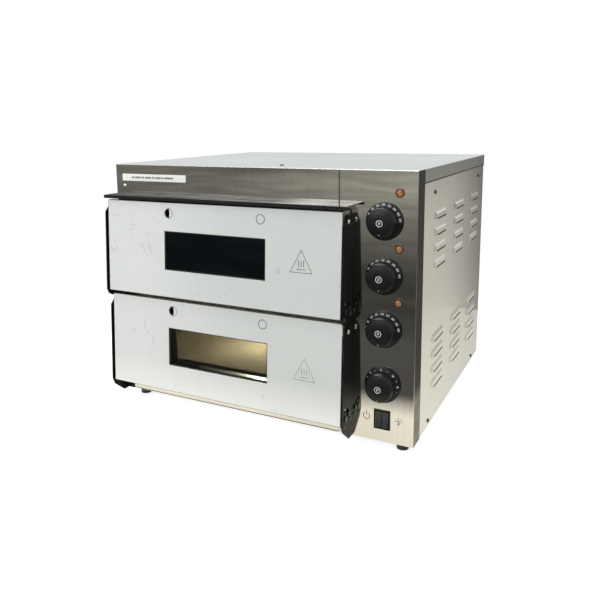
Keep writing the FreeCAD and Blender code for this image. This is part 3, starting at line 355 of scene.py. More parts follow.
def make_materials():
    made = {}

    def keep(slot, shader):
        made[slot] = shader.material

    keep("brushed_casing", brushed_casing())
    keep("satin_casing", satin_casing())
    keep("cover_steel", cover_steel())
    keep("door_steel", brushed("door_steel", (0.74, 0.73, 0.70), (0.62, 0.61, 0.58), VERTICAL, 0.22))
    keep("inner_steel", inner_steel())
    keep("pin_steel", brushed("pin_steel", (0.15, 0.15, 0.145), (0.07, 0.07, 0.07), FINE, 0.34))
    keep("screw_steel", screw_steel())
    keep("shaft_steel", brushed("shaft_steel", (0.62, 0.61, 0.58), (0.44, 0.43, 0.41), ALONG_SHAFT, 0.32))
    keep("lip_steel", lip_steel())

    s = Shader("galvanised")
    spangle = s.cells(90.0)
    stain_and_painted_reflection = s.noise(14.0, detail=5.0, roughness=0.7)
    shade = s.mix(s.span(spangle, 0.0, 0.7), (0.62, 0.63, 0.64), (0.44, 0.45, 0.46))
    shade = s.mix(s.span(stain_and_painted_reflection, 0.5, 0.8, 0.0, 0.3), shade, (0.35, 0.34, 0.32))
    s.set(color=shade, metallic=0.9, roughness=s.span(spangle, 0.0, 0.8, 0.35, 0.55),
          normal=s.bump(spangle, 0.00006, under=s.soft_edges(0.4 * MM)))
    keep("galvanised", s)

    s = Shader("black_steel")
    grain = s.noise(700.0, detail=2.0)
    scuff = s.noise((30.0, 60.0, 18.0), detail=6.0, roughness=0.75, distortion=0.8)
    worn = s.sum("MULTIPLY", s.worn_edges(0.5 * MM), s.span(scuff, 0.5, 0.68))
    shade = s.mix(s.span(scuff, 0.35, 0.75, 0.0, 1.0), (0.004, 0.005, 0.005), (0.010, 0.012, 0.012))
    shade = s.mix(worn, shade, (0.42, 0.40, 0.36))
    s.set(color=shade, roughness=s.span(scuff, 0.3, 0.75, 0.26, 0.42),
          metallic=s.span(worn, 0.0, 1.0, 0.0, 0.9),
          normal=s.bump(grain, 0.00003, under=s.soft_edges(0.5 * MM)), specular=0.10)
    keep("black_steel", s)

    s = Shader("chamber_steel")
    heat = s.noise(5.0, detail=4.0, roughness=0.6, distortion=0.5)
    streaks = s.noise((5.0, 700.0, 700.0), detail=3.0)
    shade = s.ramp(heat, [(0.30, (0.42, 0.40, 0.36)), (0.55, (0.36, 0.31, 0.24)),
                          (0.75, (0.20, 0.19, 0.19))])
    shade = s.mix(s.span(streaks, 0.3, 0.7, 0.0, 0.25), shade, (0.50, 0.49, 0.46))
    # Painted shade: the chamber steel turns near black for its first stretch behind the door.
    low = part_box("lower_chamber_liner")[0]
    door_shade_end = low.y + CHAMBER_SHADE_DEPTH
    door_shade = s.span(s.axis("Y"), door_shade_end, door_shade_end - 20 * MM)
    shade = s.mix(s.sum("MULTIPLY", door_shade, s.span(heat, 0.2, 0.5, 0.8, 0.98)), shade, (0.02, 0.019, 0.018))
    s.set(color=shade, metallic=0.85, roughness=s.span(heat, 0.3, 0.8, 0.38, 0.6),
          normal=s.bump(streaks, 0.00003, under=s.soft_edges(0.5 * MM)))
    keep("chamber_steel", s)

    s = Shader("hearth_stone")
    speck = s.noise(420.0, detail=4.0, roughness=0.75)
    pits = s.cells(160.0)
    char = s.noise(9.0, detail=5.0, roughness=0.65, distortion=0.4)
    shade = s.mix(s.span(speck, 0.35, 0.7), (0.47, 0.38, 0.26), (0.64, 0.54, 0.39))
    shade = s.mix(s.span(char, 0.52, 0.8, 0.0, 0.45), shade, (0.24, 0.18, 0.12))
    shade = s.mix(s.span(pits, 0.0, 0.22, 0.5, 0.0), shade, (0.20, 0.15, 0.10))
    s.set(color=shade, roughness=s.span(speck, 0.3, 0.7, 0.82, 0.95),
          normal=s.bump(pits, 0.0003, strength=0.5, under=s.bump(speck, 0.0002)))
    keep("hearth_stone", s)

    s = Shader("heating_tube")
    scale = s.noise((40.0, 300.0, 300.0), detail=5.0, roughness=0.7)
    shade = s.ramp(scale, [(0.3, (0.05, 0.05, 0.055)), (0.55, (0.13, 0.11, 0.10)),
                           (0.75, (0.22, 0.15, 0.10))])
    s.set(color=shade, metallic=0.7, roughness=s.span(scale, 0.3, 0.7, 0.45, 0.7),
          normal=s.bump(scale, 0.0001))
    keep("heating_tube", s)

    s = Shader("fibre_board")
    fibres = s.noise((220.0, 40.0, 220.0), detail=6.0, roughness=0.75, distortion=1.2)
    clumps = s.noise(35.0, detail=3.0)
    shade = s.mix(s.span(fibres, 0.3, 0.7), (0.66, 0.62, 0.50), (0.84, 0.82, 0.74))
    shade = s.mix(s.span(clumps, 0.5, 0.8, 0.0, 0.3), shade, (0.58, 0.52, 0.40))
    s.set(color=shade, roughness=s.span(clumps, 0.3, 0.7, 0.88, 1.0), normal=s.bump(fibres, 0.0006))
    keep("fibre_board", s)

    s = Shader("ceramic")
    glaze = s.noise(80.0, detail=3.0)
    shade = s.mix(s.span(glaze, 0.35, 0.7), (0.74, 0.72, 0.66), (0.86, 0.84, 0.79))
    s.set(color=shade, roughness=s.span(glaze, 0.3, 0.7, 0.28, 0.45),
          normal=s.bump(glaze, 0.0001, under=s.soft_edges(0.5 * MM)))
    keep("ceramic", s)

    s = Shader("lamp_glass")
    flow = s.noise(60.0, detail=2.0)
    dust = s.noise(300.0, detail=5.0, roughness=0.7)
    shade = s.mix(s.span(dust, 0.5, 0.8, 0.0, 0.4), (0.93, 0.95, 0.93), (0.62, 0.56, 0.45))
    s.set(color=shade, roughness=s.span(dust, 0.4, 0.8, 0.12, 0.4), transmission=0.9, ior=1.5,
          normal=s.bump(flow, 0.0003))
    keep("lamp_glass", s)

    s = Shader("door_glass")
    flow = s.noise(9.0, detail=1.0)
    haze = s.noise((18.0, 40.0, 26.0), detail=6.0, roughness=0.7, distortion=0.7)
    shade = s.mix(s.span(haze, 0.45, 0.8, 0.0, 0.5), (0.10, 0.132, 0.15), (0.085, 0.105, 0.12))
    s.set(color=shade, roughness=s.span(haze, 0.4, 0.8, 0.02, 0.09), transmission=1.0, ior=1.5,
          edge_tint=(0.42, 0.66, 0.85, 1.0),
          normal=s.bump(flow, 0.0003))
    keep("door_glass", s)

    for slot, (light, dark, rough, settings) in MOULDED.items():
        keep(slot, plastic(slot, light, dark, rough, **settings))

    s = Shader("indicator_amber")
    facets = s.cells(900.0)
    core = s.noise(260.0, detail=3.0)
    shade = s.mix(s.span(facets, 0.1, 0.7), (0.50, 0.22, 0.07), (0.26, 0.09, 0.03))
    shade = s.mix(s.span(core, 0.45, 0.7, 0.0, 0.5), shade, (0.62, 0.34, 0.15))
    s.set(color=shade, roughness=s.span(core, 0.3, 0.7, 0.18, 0.3), subsurface=0.3, transmission=0.15,
          normal=s.bump(facets, 0.0002, strength=0.6))
    keep("indicator_amber", s)
    return made


MATERIALS = make_materials()
for name, body in nodes.items():
    body.data.materials.clear()
    body.data.materials.append(MATERIALS[SLOT_OF_NODE[name]])


def film_material(deck):
    """White protective film: nearly matt, lightly rippled, with scuffs and small trapped bubbles.

    Its coordinates are those of the door's front: X to the right and Y upwards from the bottom left.
    """
    s = Shader(deck + "_protective_film")
    low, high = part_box(deck + "_door_skin")
    # Painted shade: the film darkens from left to right across the door.
    shade = s.mix(s.span(s.axis("X"), 0.15 * (high.x - low.x), 0.62 * (high.x - low.x)),
                  (0.600, 0.610, 0.594), (0.505, 0.522, 0.502))
    # Painted light: the lower door's film turns paler towards its bottom.
    if deck == "lower":
        shade = s.mix(s.span(s.axis("Y"), 60 * MM, 0.0, 0.10, 1.0), shade, (0.74, 0.74, 0.70))
    moved = s.node("ShaderNodeVectorMath", operation="ADD")
    s.link(s.place, moved.inputs[0])
    moved.inputs[1].default_value = (0.0, 0.0, 0.0) if deck == "lower" else (0.83, 0.37, 0.0)
    s.place = moved.outputs["Vector"]
    tone = s.noise((4.0, 4.0, 6.0), detail=3.0)
    scuff = s.noise((60.0, 60.0, 22.0), detail=7.0, roughness=0.8, distortion=1.4)
    drag = s.noise((420.0, 9.0, 1.0), detail=4.0, roughness=0.7)
    fleck = s.noise(330.0, detail=2.0)
    where = s.noise(11.0, detail=2.0)
    bubbles = s.cells(55.0)
    ripple = s.noise((14.0, 14.0, 5.0), detail=3.0, distortion=0.5)
    shade = s.mix(s.span(tone, 0.3, 0.7, 0.0, 0.14), shade, (0.40, 0.41, 0.40))
    shade = s.mix(s.span(drag, 0.40, 0.72, 0.0, 0.09), shade, (0.36, 0.37, 0.36))
    mark = s.sum("MULTIPLY", s.span(scuff, 0.58, 0.68), s.span(where, 0.50, 0.60))
    shade = s.mix(s.sum("MULTIPLY", mark, 0.75), shade, (0.17, 0.18, 0.17))
    speckle = s.sum("MULTIPLY", s.span(fleck, 0.70, 0.74), s.span(where, 0.44, 0.54))
    shade = s.mix(s.sum("MULTIPLY", speckle, 0.6), shade, (0.16, 0.16, 0.15))
    bead = s.sum("MULTIPLY", s.span(bubbles, 0.16, 0.05), s.span(where, 0.52, 0.62))
    normal = s.bump(ripple, 0.0008)
    normal = s.bump(bead, 0.0004, under=normal)
    s.set(color=shade, roughness=s.span(scuff, 0.3, 0.7, 0.30, 0.46), normal=normal,
          coat=0.3, coat_roughness=0.2)
    return s.material


def ink(name, light, dark):
    """Printed ink, slightly uneven and rubbed; the same shader also makes the painted shade of rims and
    seams, and the label paper.
    """
    s = Shader(name)
    wear = s.noise(700.0, detail=4.0, roughness=0.7)
    s.set(color=s.mix(s.span(wear, 0.35, 0.7), light, dark), roughness=s.span(wear, 0.3, 0.7, 0.5, 0.7),
          normal=s.bump(wear, 0.00003))
    return s.material


FILM = {deck: film_material(deck) for deck in DECKS}
WHITE_INK = ink("white_ink", (0.74, 0.75, 0.74), (0.45, 0.46, 0.45))
GREY_INK = ink("grey_ink", (0.16, 0.165, 0.16), (0.27, 0.275, 0.27))
DARK_INK = ink("dark_ink", (0.035, 0.033, 0.030), (0.075, 0.072, 0.068))
RIM_SHADE = ink("rim_shade", (0.055, 0.055, 0.055), (0.14, 0.14, 0.135))
SEAM_SHADE = ink("seam_shade", (0.030, 0.028, 0.022), (0.055, 0.050, 0.040))
LABEL_PAPER = ink("label_paper", (0.80, 0.80, 0.76), (0.72, 0.72, 0.68))


# ---------------------------------------------------------------- geometry helpers
class Sheet:
    """A flat place on the object: u to the right, v upwards, n out of the surface."""

    def __init__(self, origin, u, v):
        self.origin = Vector(origin)
        self.u = Vector(u).normalized()
        self.v = Vector(v).normalized()
        self.n = self.u.cross(self.v)

    def at(self, u, v, out=0.0):
        return self.origin + self.u * u + self.v * v + self.n * out

    def matrix(self, u, v, out, angle=0.0):
        """Places a drawing in the XY plane here, turned clockwise by angle."""
        turned_u = self.u * math.cos(angle) - self.v * math.sin(angle)
        turned_v = self.u * math.sin(angle) + self.v * math.cos(angle)
        place = Matrix((turned_u, turned_v, self.n)).transposed().to_4x4()
        place.translation = self.at(u, v, out)
        return place


def rounded_outline(u0, u1, v0, v1, radius, steps=6):
    points = []
    corners = ((u1 - radius, v1 - radius, 0), (u0 + radius, v1 - radius, 90),
               (u0 + radius, v0 + radius, 180), (u1 - radius, v0 + radius, 270))
    for cu, cv, start in corners:
        for i in range(steps + 1):
            angle = math.radians(start + 90 * i / steps)
            points.append((cu + radius * math.cos(angle), cv + radius * math.sin(angle)))
    return points


def circle_outline(u, v, radius, steps=40):
    return [(u + radius * math.cos(2 * math.pi * i / steps), v + radius * math.sin(2 * math.pi * i / steps))
            for i in range(steps)]


def band(points, width, closed=True):
    """Outer and inner outlines of a line of one width along a closed run of points."""
    outer = []
    inner = []
    count = len(points)
    for i in range(count):
        here = Vector(points[i])
        before = Vector(points[i - 1])
        after = Vector(points[(i + 1) % count])
        a = (here - before).normalized()
        b = (after - here).normalized()
        normal = Vector((a.y + b.y, -(a.x + b.x))).normalized()
        reach = width / 2 / max(0.3, normal.dot(Vector((a.y, -a.x))))
        outer.append(tuple(here + normal * reach))
        inner.append(tuple(here - normal * reach))
    return [outer, inner]


def drawing(name, place, outlines, thickness, material, body):
    """Flat filled outlines in a 2D curve; an outline inside another one is a hole."""
    curve = bpy.data.curves.new(name, "CURVE")
    curve.dimensions = "2D"
    curve.fill_mode = "BOTH"
    curve.extrude = thickness / 2
    for outline in outlines:
        spline = curve.splines.new("POLY")
        spline.points.add(len(outline) - 1)
        for point, (u, v) in zip(spline.points, outline):
            point.co = (u, v, 0.0, 1.0)
        spline.use_cyclic_u = True
    curve.materials.append(material)
    made = bpy.data.objects.new(name, curve)
    bpy.context.scene.collection.objects.link(made)
    made.matrix_world = place
    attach(made, body)
    return made


def bar(u0, v0, u1, v1, width):
    """Outline of a straight stroke."""
    along = (Vector((u1, v1)) - Vector((u0, v0))).normalized()
    side = Vector((-along.y, along.x)) * width / 2
    a = Vector((u0, v0))
    b = Vector((u1, v1))
    return [tuple(a - side), tuple(b - side), tuple(b + side), tuple(a + side)]


def arc_stroke(u, v, radius, start, end, width, steps=16):
    """Outline of a stroke along an arc, angles in degrees anticlockwise from the right."""
    outline = []
    for reach, order in ((radius + width / 2, range(steps + 1)), (radius - width / 2, range(steps, -1, -1))):
        for i in order:
            angle = math.radians(start + (end - start) * i / steps)
            outline.append((u + reach * math.cos(angle), v + reach * math.sin(angle)))
    return outline


def lettering(name, place, text, height, depth, material, body):
    curve = bpy.data.curves.new(name, "FONT")
    curve.body = text
    curve.size = height / 0.7
    curve.extrude = depth / 2
    curve.space_character = 0.82
    curve.align_x = "CENTER"
    curve.align_y = "CENTER"
    curve.materials.append(material)
    made = bpy.data.objects.new(name, curve)
    bpy.context.scene.collection.objects.link(made)
    made.matrix_world = place
    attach(made, body)
    return made


# ---------------------------------------------------------------- door films and hot-surface marks
def door_sheet(deck):
    """The leaning front of a door, with its origin at the skin's bottom left corner."""
    skin = nodes[deck + "_door_skin"]
    low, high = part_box(deck + "_door_skin")
    upper_front = min(v.co.y for v in skin.data.vertices if v.co.z > high.z - 3 * MM)
    rise = high.z - low.z
    return Sheet((low.x, low.y, low.z), (1, 0, 0), (0, upper_front - low.y, rise))


def handle_holes(deck):
    mount = [m for m in record["mounts"] if m["name"] == deck + "_door_handle_holes"][0]
    spacing = mount["dims"]["spacing_x_mm"] * MM
    x, _, z = mount["pos_m"]
    return [(x - spacing / 2, z), (x + spacing / 2, z)], mount["dims"]["hole_r_mm"] * MM


FILM_T = 0.25 * MM
FILM_MARGIN = 0.7 * MM
FILM_LIFT = FILM_T / 2 + 0.05 * MM
GLASS_LAP = 9 * MM
WINDOW_PLAY = 0.4 * MM
PRINT_T = 0.06 * MM
PRINT_LIFT = FILM_T + 0.09 * MM


def on_film(deck, name, outlines, material, sheet):
    """A thin print or shade on the film of a door."""
    drawing(deck + "_" + name, sheet.matrix(0, 0, PRINT_LIFT), outlines, PRINT_T, material, deck + "_door")


def door_film(deck):
    """Film over the door's front, open at the window and at the left handle hole."""
    sheet = door_sheet(deck)
    low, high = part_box(deck + "_door_skin")
    glass_low, glass_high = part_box(deck + "_door_glass")
    lean = sheet.v.z
    width = high.x - low.x
    height = (high.z - low.z) / lean
    outer = rounded_outline(FILM_MARGIN, width - FILM_MARGIN, FILM_MARGIN, height - FILM_MARGIN, 1.5 * MM)
    lap = GLASS_LAP - WINDOW_PLAY
    window = rounded_outline(glass_low.x + lap - low.x, glass_high.x - lap - low.x,
                             (glass_low.z + GLASS_LAP - low.z) / lean - WINDOW_PLAY,
                             (glass_high.z - GLASS_LAP - low.z) / lean + WINDOW_PLAY, 0.8 * MM)
    holes, radius = handle_holes(deck)
    (u, v), covered = [(x - low.x, (z - low.z) / lean) for x, z in holes]
    opened = circle_outline(u, v, radius + 0.3 * MM)
    drawing(deck + "_door_film", sheet.matrix(0, 0, FILM_LIFT), [outer, window, opened], FILM_T, FILM[deck],
            deck + "_door")
    # Painted shade: dark rings round both handle holes and a dark line along the film's edge.
    rim = [circle_outline(covered[0], covered[1], radius + 0.6 * MM),
           circle_outline(covered[0], covered[1], radius - 0.7 * MM)]
    on_film(deck, "covered_hole_shade", rim, RIM_SHADE, sheet)
    on_film(deck, "film_edge_shade", band(outer, 0.5 * MM), RIM_SHADE, sheet)
    on_film(deck, "open_hole_shade", [circle_outline(u, v, radius + 1.1 * MM), opened], RIM_SHADE, sheet)
    flap = []
    for along_u, along_v, order in ((radius + 0.2 * MM, radius + 0.2 * MM, range(-70, 71, 10)),
                                    (0.25 * radius, 0.95 * radius, range(70, -71, -10))):
        for degrees in order:
            angle = math.radians(degrees)
            flap.append((u + along_u * math.cos(angle), v + along_v * math.sin(angle)))
    drawing(deck + "_film_flap", sheet.matrix(0, 0, FILM_LIFT), [flap], FILM_T, FILM[deck], deck + "_door")
    return sheet


# Place of the triangle on each door: from the right edge and from the bottom.
MARK_PLACE = {"lower": (63.5 * MM, 64.0 * MM), "upper": (67.0 * MM, 66.5 * MM)}
MARK_HALF = 18.6 * MM
MARK_RISE = 35 * MM
MARK_LINE = 0.9 * MM
MARK_INK = {"lower": GREY_INK, "upper": DARK_INK}


def hot_surface_mark(deck, sheet):
    """Plain triangle outline around three upright bars, printed on the door."""
    low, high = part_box(deck + "_door_skin")
    from_right, v = MARK_PLACE[deck]
    u = (high.x - low.x) - from_right
    strokes = band([(u - MARK_HALF, v), (u + MARK_HALF, v), (u, v + MARK_RISE)], MARK_LINE)
    strokes.append(bar(u - 8 * MM, v + 5 * MM, u + 8 * MM, v + 5 * MM, MARK_LINE))
    for shift in (-4.5 * MM, 0.0, 4.5 * MM):
        strokes.append(bar(u + shift, v + 9 * MM, u + shift, v + 19 * MM, 1.1 * MM))
    on_film(deck, "hot_surface_mark", strokes, MARK_INK[deck], sheet)


# Light scratches in the film of each door: both ends in millimetres from the bottom left corner.
SCRATCHES = {"lower": [(72, 123, 71, 105), (79, 102, 80, 96), (88, 96, 90, 81), (86, 75, 87, 71)],
             "upper": [(74, 92, 76, 84), (79, 88, 80, 76), (90, 94, 91, 80), (94, 90, 95, 73),
                       (86, 72, 88, 67), (12, 140, 13, 133), (19, 138, 20, 134)]}


def scratches(deck, sheet):
    strokes = [bar(u0 * MM, v0 * MM, u1 * MM, v1 * MM, 0.6 * MM) for u0, v0, u1, v1 in SCRATCHES[deck]]
    on_film(deck, "film_scratches", strokes, GREY_INK, sheet)


for deck in DECKS:
    door_front = door_film(deck)
    hot_surface_mark(deck, door_front)
    scratches(deck, door_front)


# ---------------------------------------------------------------- blank label on the front
def on_casing(name, place, outlines, thickness, material):
    drawing(name, place, outlines, thickness, material, "root")


# The label and its bars, measured from the casing's left side and from the top of the ledge.
LABEL_LEFT = 15 * MM
LABEL_RIGHT = 153.5 * MM
LABEL_BOTTOM = 22.6 * MM
LABEL_TOP = 35.0 * MM
LABEL_BARS = (6, 13, 6, 13, 5, 12, 4, 19)
BARS_START = 21 * MM
BAR_GAP = 1.9 * MM
BAR_HEIGHT = 3.3 * MM


def front_label():
    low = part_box("front_frame")[0]
    lip_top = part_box("front_lip")[1].z
    sheet = Sheet((low.x, low.y, lip_top), (1, 0, 0), (0, 0, 1))
    outline = rounded_outline(LABEL_LEFT, LABEL_RIGHT, LABEL_BOTTOM, LABEL_TOP, 1 * MM)
    on_casing("front_label", sheet.matrix(0, 0, 0.12 * MM), [outline], 0.2 * MM, LABEL_PAPER)
    bars = []
    middle = (LABEL_BOTTOM + LABEL_TOP) / 2
    start = LABEL_LEFT + BARS_START
    for length in LABEL_BARS:
        end = start + length * MM
        bars.append(bar(start, middle, end, middle, BAR_HEIGHT))
        start = end + BAR_GAP
    on_casing("front_label_bars", sheet.matrix(0, 0, 0.24 * MM), bars, 0.04 * MM, GREY_INK)


front_label()


# ---------------------------------------------------------------- painted shade in the gaps between sheets
SEAM_W = 2.3 * MM
GAP_T = 0.04 * MM
GAP_LIFT = 0.03 * MM


def sheet_gaps():
    frame_low, frame_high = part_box("front_frame")
    panel_low, panel_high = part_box("control_panel")
    seam = (frame_high.x + panel_low.x) / 2
    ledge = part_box("front_lip")[1].z
    # Painted shade: dark bars in the seam between the front frame and the control panel, and along the
    # frame's foot under the lower door.
    front = Sheet((seam, panel_low.y, 0), (1, 0, 0), (0, 0, 1))
    on_casing("front_seam_shade", front.matrix(0, 0, GAP_LIFT), [bar(0, ledge, 0, panel_high.z - 0.5 * MM, SEAM_W)],
              GAP_T, SEAM_SHADE)
    under = Sheet((0, frame_low.y, frame_low.z), (1, 0, 0), (0, 0, 1))
    shade = bar(frame_low.x + 1 * MM, 1.2 * MM, seam - 2 * MM, 1.2 * MM, 1.4 * MM)
    on_casing("front_bottom_shade", under.matrix(0, 0, GAP_LIFT), [shade], GAP_T, SEAM_SHADE)


sheet_gaps()


# ---------------------------------------------------------------- dial markings
def dial_sheet(index):
    """Face of a dial, with its origin on the turning axis at the dial's front."""
    low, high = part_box("control_knob_%d" % index)
    return Sheet(((low.x + high.x) / 2, low.y, (low.z + high.z) / 2), (1, 0, 0), (0, 0, 1))


SKIRT_OUTER = 27.8 * MM
SKIRT_INNER = 22.4 * MM
SKIRT_DROP_INNER = 19.7 * MM
SKIRT_DROP_OUTER = 21.5 * MM
SCALE_TEXT = 3.1 * MM
SCALE_DEPTH = 0.5 * MM
DOT_R = 0.55 * MM
POINTER_V = -17.0 * MM
BADGE_SINK = -0.55 * MM
DIAL_PRINT_T = 0.2 * MM


def skirt_place(sheet, angle):
    """A place on the sloping skirt of a dial, at a clockwise angle from the top."""
    outward = sheet.u * math.sin(angle) + sheet.v * math.cos(angle)
    along = sheet.u * math.cos(angle) - sheet.v * math.sin(angle)
    radius = (SKIRT_OUTER + SKIRT_INNER) / 2
    drop = (SKIRT_DROP_OUTER + SKIRT_DROP_INNER) / 2
    slope = outward * (SKIRT_OUTER - SKIRT_INNER) - sheet.n * (SKIRT_DROP_OUTER - SKIRT_DROP_INNER)
    slope.normalize()
    place = Matrix((along, slope, along.cross(slope))).transposed().to_4x4()
    place.translation = sheet.origin + outward * radius - sheet.n * drop
    return place


def dial_marks(index, labels, body):
    """Scale on the skirt, pointer dot and ringed badge of one dial; an empty label is a dot."""
    sheet = dial_sheet(index)
    for i, (degrees, text) in enumerate(labels):
        place = skirt_place(sheet, math.radians(degrees))
        name = "dial_%d_mark_%02d" % (index, i + 1)
        if text:
            lettering(name, place, text, SCALE_TEXT, SCALE_DEPTH, WHITE_INK, body)
        else:
            drawing(name, place, [circle_outline(0, 0, DOT_R, 16)], SCALE_DEPTH, WHITE_INK, body)
    pointer = [circle_outline(0, POINTER_V, DOT_R, 20)]
    drawing("dial_%d_pointer" % index, sheet.matrix(0, 0, 0.04 * MM), pointer, DIAL_PRINT_T, WHITE_INK, body)
    ring = [circle_outline(0, 0, 5.0 * MM), circle_outline(0, 0, 4.2 * MM)]
    ring.append(bar(-1.0 * MM, -2.3 * MM, -1.0 * MM, 2.3 * MM, 0.8 * MM))
    ring.append(bar(1.0 * MM, -1.2 * MM, 1.0 * MM, 2.3 * MM, 0.8 * MM))
    drawing("dial_%d_badge" % index, sheet.matrix(0, 0, BADGE_SINK), ring, DIAL_PRINT_T, WHITE_INK, body)


# Clockwise angle from the top, and the text there.
HEAT_LABELS = [(-86 + 21 * i, text) for i, text in
               enumerate(("50", "85", "120", "155", "190", "225", "260", "300", "350"))]
TIME_LABELS = [(-88, "-"), (-66, ""), (-46, "5"), (-26, ""), (-4, "15"), (20, ""), (44, "30"), (66, ""),
               (86, "45"), (106, "-")]
for number in (1, 2, 3):
    dial_marks(number, HEAT_LABELS, "dial_%d" % number)
dial_marks(4, TIME_LABELS, "dial_4")


# ---------------------------------------------------------------- signs beside the rocker switches
# Places of the two signs from the middle of the switch, and their line width.
POWER_PLACE = (-25.5 * MM, 2.0 * MM)
LAMP_PLACE = (26.6 * MM, 1.2 * MM)
SIGN_LINE = 1.1 * MM
SIGN_LIFT = 0.04 * MM


def switch_signs():
    """A power sign left of the rockers and a small lamp with rays to the right of them."""
    low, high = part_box("switch_housing")
    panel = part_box("control_panel")[0].y
    sheet = Sheet(((low.x + high.x) / 2, panel, (low.z + high.z) / 2), (1, 0, 0), (0, 0, 1))
    u, v = POWER_PLACE
    power = [arc_stroke(u, v, 5.4 * MM, 125, 415, SIGN_LINE)]
    power.append(bar(u, v + 1.5 * MM, u, v + 7.8 * MM, SIGN_LINE))
    on_casing("power_sign", sheet.matrix(0, 0, SIGN_LIFT), power, PRINT_T, DARK_INK)
    u, v = LAMP_PLACE
    bulb = [circle_outline(u, v, 2.6 * MM), circle_outline(u, v, 1.6 * MM)]
    bulb.append(bar(u - 1.4 * MM, v - 4.2 * MM, u + 1.4 * MM, v - 4.2 * MM, 2.0 * MM))
    for degrees in (0, 45, 90, 135, 180):
        ray = Vector((math.cos(math.radians(degrees)), math.sin(math.radians(degrees))))
        start = Vector((u, v)) + ray * 4.2 * MM
        end = Vector((u, v)) + ray * 6.8 * MM
        bulb.append(bar(start.x, start.y, end.x, end.y, 1.0 * MM))
    on_casing("lamp_sign", sheet.matrix(0, 0, SIGN_LIFT), bulb, PRINT_T, DARK_INK)


switch_signs()


# ---------------------------------------------------------------- floor, sky and lights
# What the steel mirrors of the studio: a pale table top round the oven, and a darker room beyond it.
# Lengths are in metres, and the lights are multiples of white.
TABLE_LIGHT = 1.3
TABLE_AHEAD = 0.13
TABLE_FADE = 0.08
ROOM_DARK = 0.10
ROOM_DARK_END = 1.2
ROOM_LIGHT = 0.50
ROOM_DEPTH = 4.0
ROOM_LEFT = -3.0
ROOM_MIDDLE = -1.0
FLANK_DEPTH = 2.4
# Share of the flank's depth, and light there.
FLANK_LIGHT = ((0.0, 1.0), (0.1, 0.7), (1.0, 0.36))
# Share of the way from 0.3 m to 4 m from the oven, and light behind it.
QUIET_LIGHT = ((0.0, 0.85), (0.35, 0.62), (1.0, 0.45))
# Distances from the oven between which the floor's shadow fades into plain white.
SHADOW_REACH = (0.45, 0.95)
FLOOR_LIFT = 0.58
FLOOR_REACH = 14.0
FLOOR_STEPS = 8
ROOM_TINT = (1.0, 0.975, 0.88)
CREAM_TINT = (1.0, 0.96, 0.84)


def tinted(brightness, tint):
    return tuple(brightness * share for share in tint)


def floor_material():
    """Seamless white floor with a soft contact shadow, mirrored by the steel as a table in a darker room."""
    s = Shader("studio_floor")
    speck = s.noise(3.0, detail=2.0)
    shade = s.mix(s.span(speck, 0.3, 0.7), (0.91, 0.91, 0.905), (0.93, 0.93, 0.925))
    s.set(color=shade, roughness=0.9, specular=0.0)
    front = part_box("control_panel")[0].y
    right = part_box("right_side_panel")[1].x
    x = s.axis("X")
    y = s.axis("Y")
    black = (0.0, 0.0, 0.0)

    dark = tinted(ROOM_DARK, ROOM_TINT)
    table = tinted(TABLE_LIGHT, CREAM_TINT)
    stops = [(0.0, table), (TABLE_AHEAD, table), (TABLE_AHEAD + TABLE_FADE, dark), (ROOM_DARK_END, dark),
             (ROOM_DEPTH, tinted(ROOM_LIGHT, ROOM_TINT))]
    ahead = s.ramp(s.span(y, front, front - ROOM_DEPTH),
                   [(reach / ROOM_DEPTH, light) for reach, light in stops])
    clouds = s.noise((0.8, 1.4, 1.0), detail=2.0, distortion=1.2)
    uneven = s.sum("MULTIPLY", s.span(x, ROOM_LEFT, ROOM_MIDDLE, 0.45, 1.0),
                   s.span(clouds, 0.35, 0.6, 0.6, 1.0))
    ahead = s.mix(uneven, black, ahead)

    flank = s.ramp(s.span(x, right, right + FLANK_DEPTH),
                   [(share, tinted(light, ROOM_TINT)) for share, light in FLANK_LIGHT])
    away = s.node("ShaderNodeVectorMath", operation="LENGTH")
    s.link(s.place, away.inputs[0])
    quiet = s.ramp(s.span(away.outputs["Value"], 0.3, 4.0), QUIET_LIGHT)
    behind = s.mix(s.span(x, right, right + 0.01), quiet, flank)
    mirrored = s.mix(s.span(y, front, front + 0.01), ahead, behind)
    glow = s.node("ShaderNodeEmission")
    s.link(mirrored, glow.inputs["Color"])

    lift = s.node("ShaderNodeEmission")
    lift.inputs["Strength"].default_value = FLOOR_LIFT
    lit = s.node("ShaderNodeAddShader")
    s.link(s.surface.outputs["BSDF"], lit.inputs[0])
    s.link(lift.outputs["Emission"], lit.inputs[1])
    white = s.node("ShaderNodeEmission")
    seamless = s.node("ShaderNodeMixShader")
    s.link(s.span(away.outputs["Value"], *SHADOW_REACH), seamless.inputs[0])
    s.link(lit.outputs["Shader"], seamless.inputs[1])
    s.link(white.outputs["Emission"], seamless.inputs[2])

    rays = s.node("ShaderNodeLightPath")
    seen = s.node("ShaderNodeMixShader")
    s.link(rays.outputs["Is Camera Ray"], seen.inputs[0])
    s.link(s.surface.outputs["BSDF"], seen.inputs[1])
    s.link(seamless.outputs["Shader"], seen.inputs[2])
    choose = s.node("ShaderNodeMixShader")
    s.link(rays.outputs["Is Glossy Ray"], choose.inputs[0])
    s.link(seen.outputs["Shader"], choose.inputs[1])
    s.link(glow.outputs["Emission"], choose.inputs[2])
    s.link(choose.outputs["Shader"], s.output.inputs["Surface"])
    return s.material


def stage_mesh(name, points, faces, material):
    mesh = bpy.data.meshes.new(name)
    mesh.from_pydata(points, [], faces)
    mesh.materials.append(material)
    made = bpy.data.objects.new(name, mesh)
    bpy.context.scene.collection.objects.link(made)
    return made


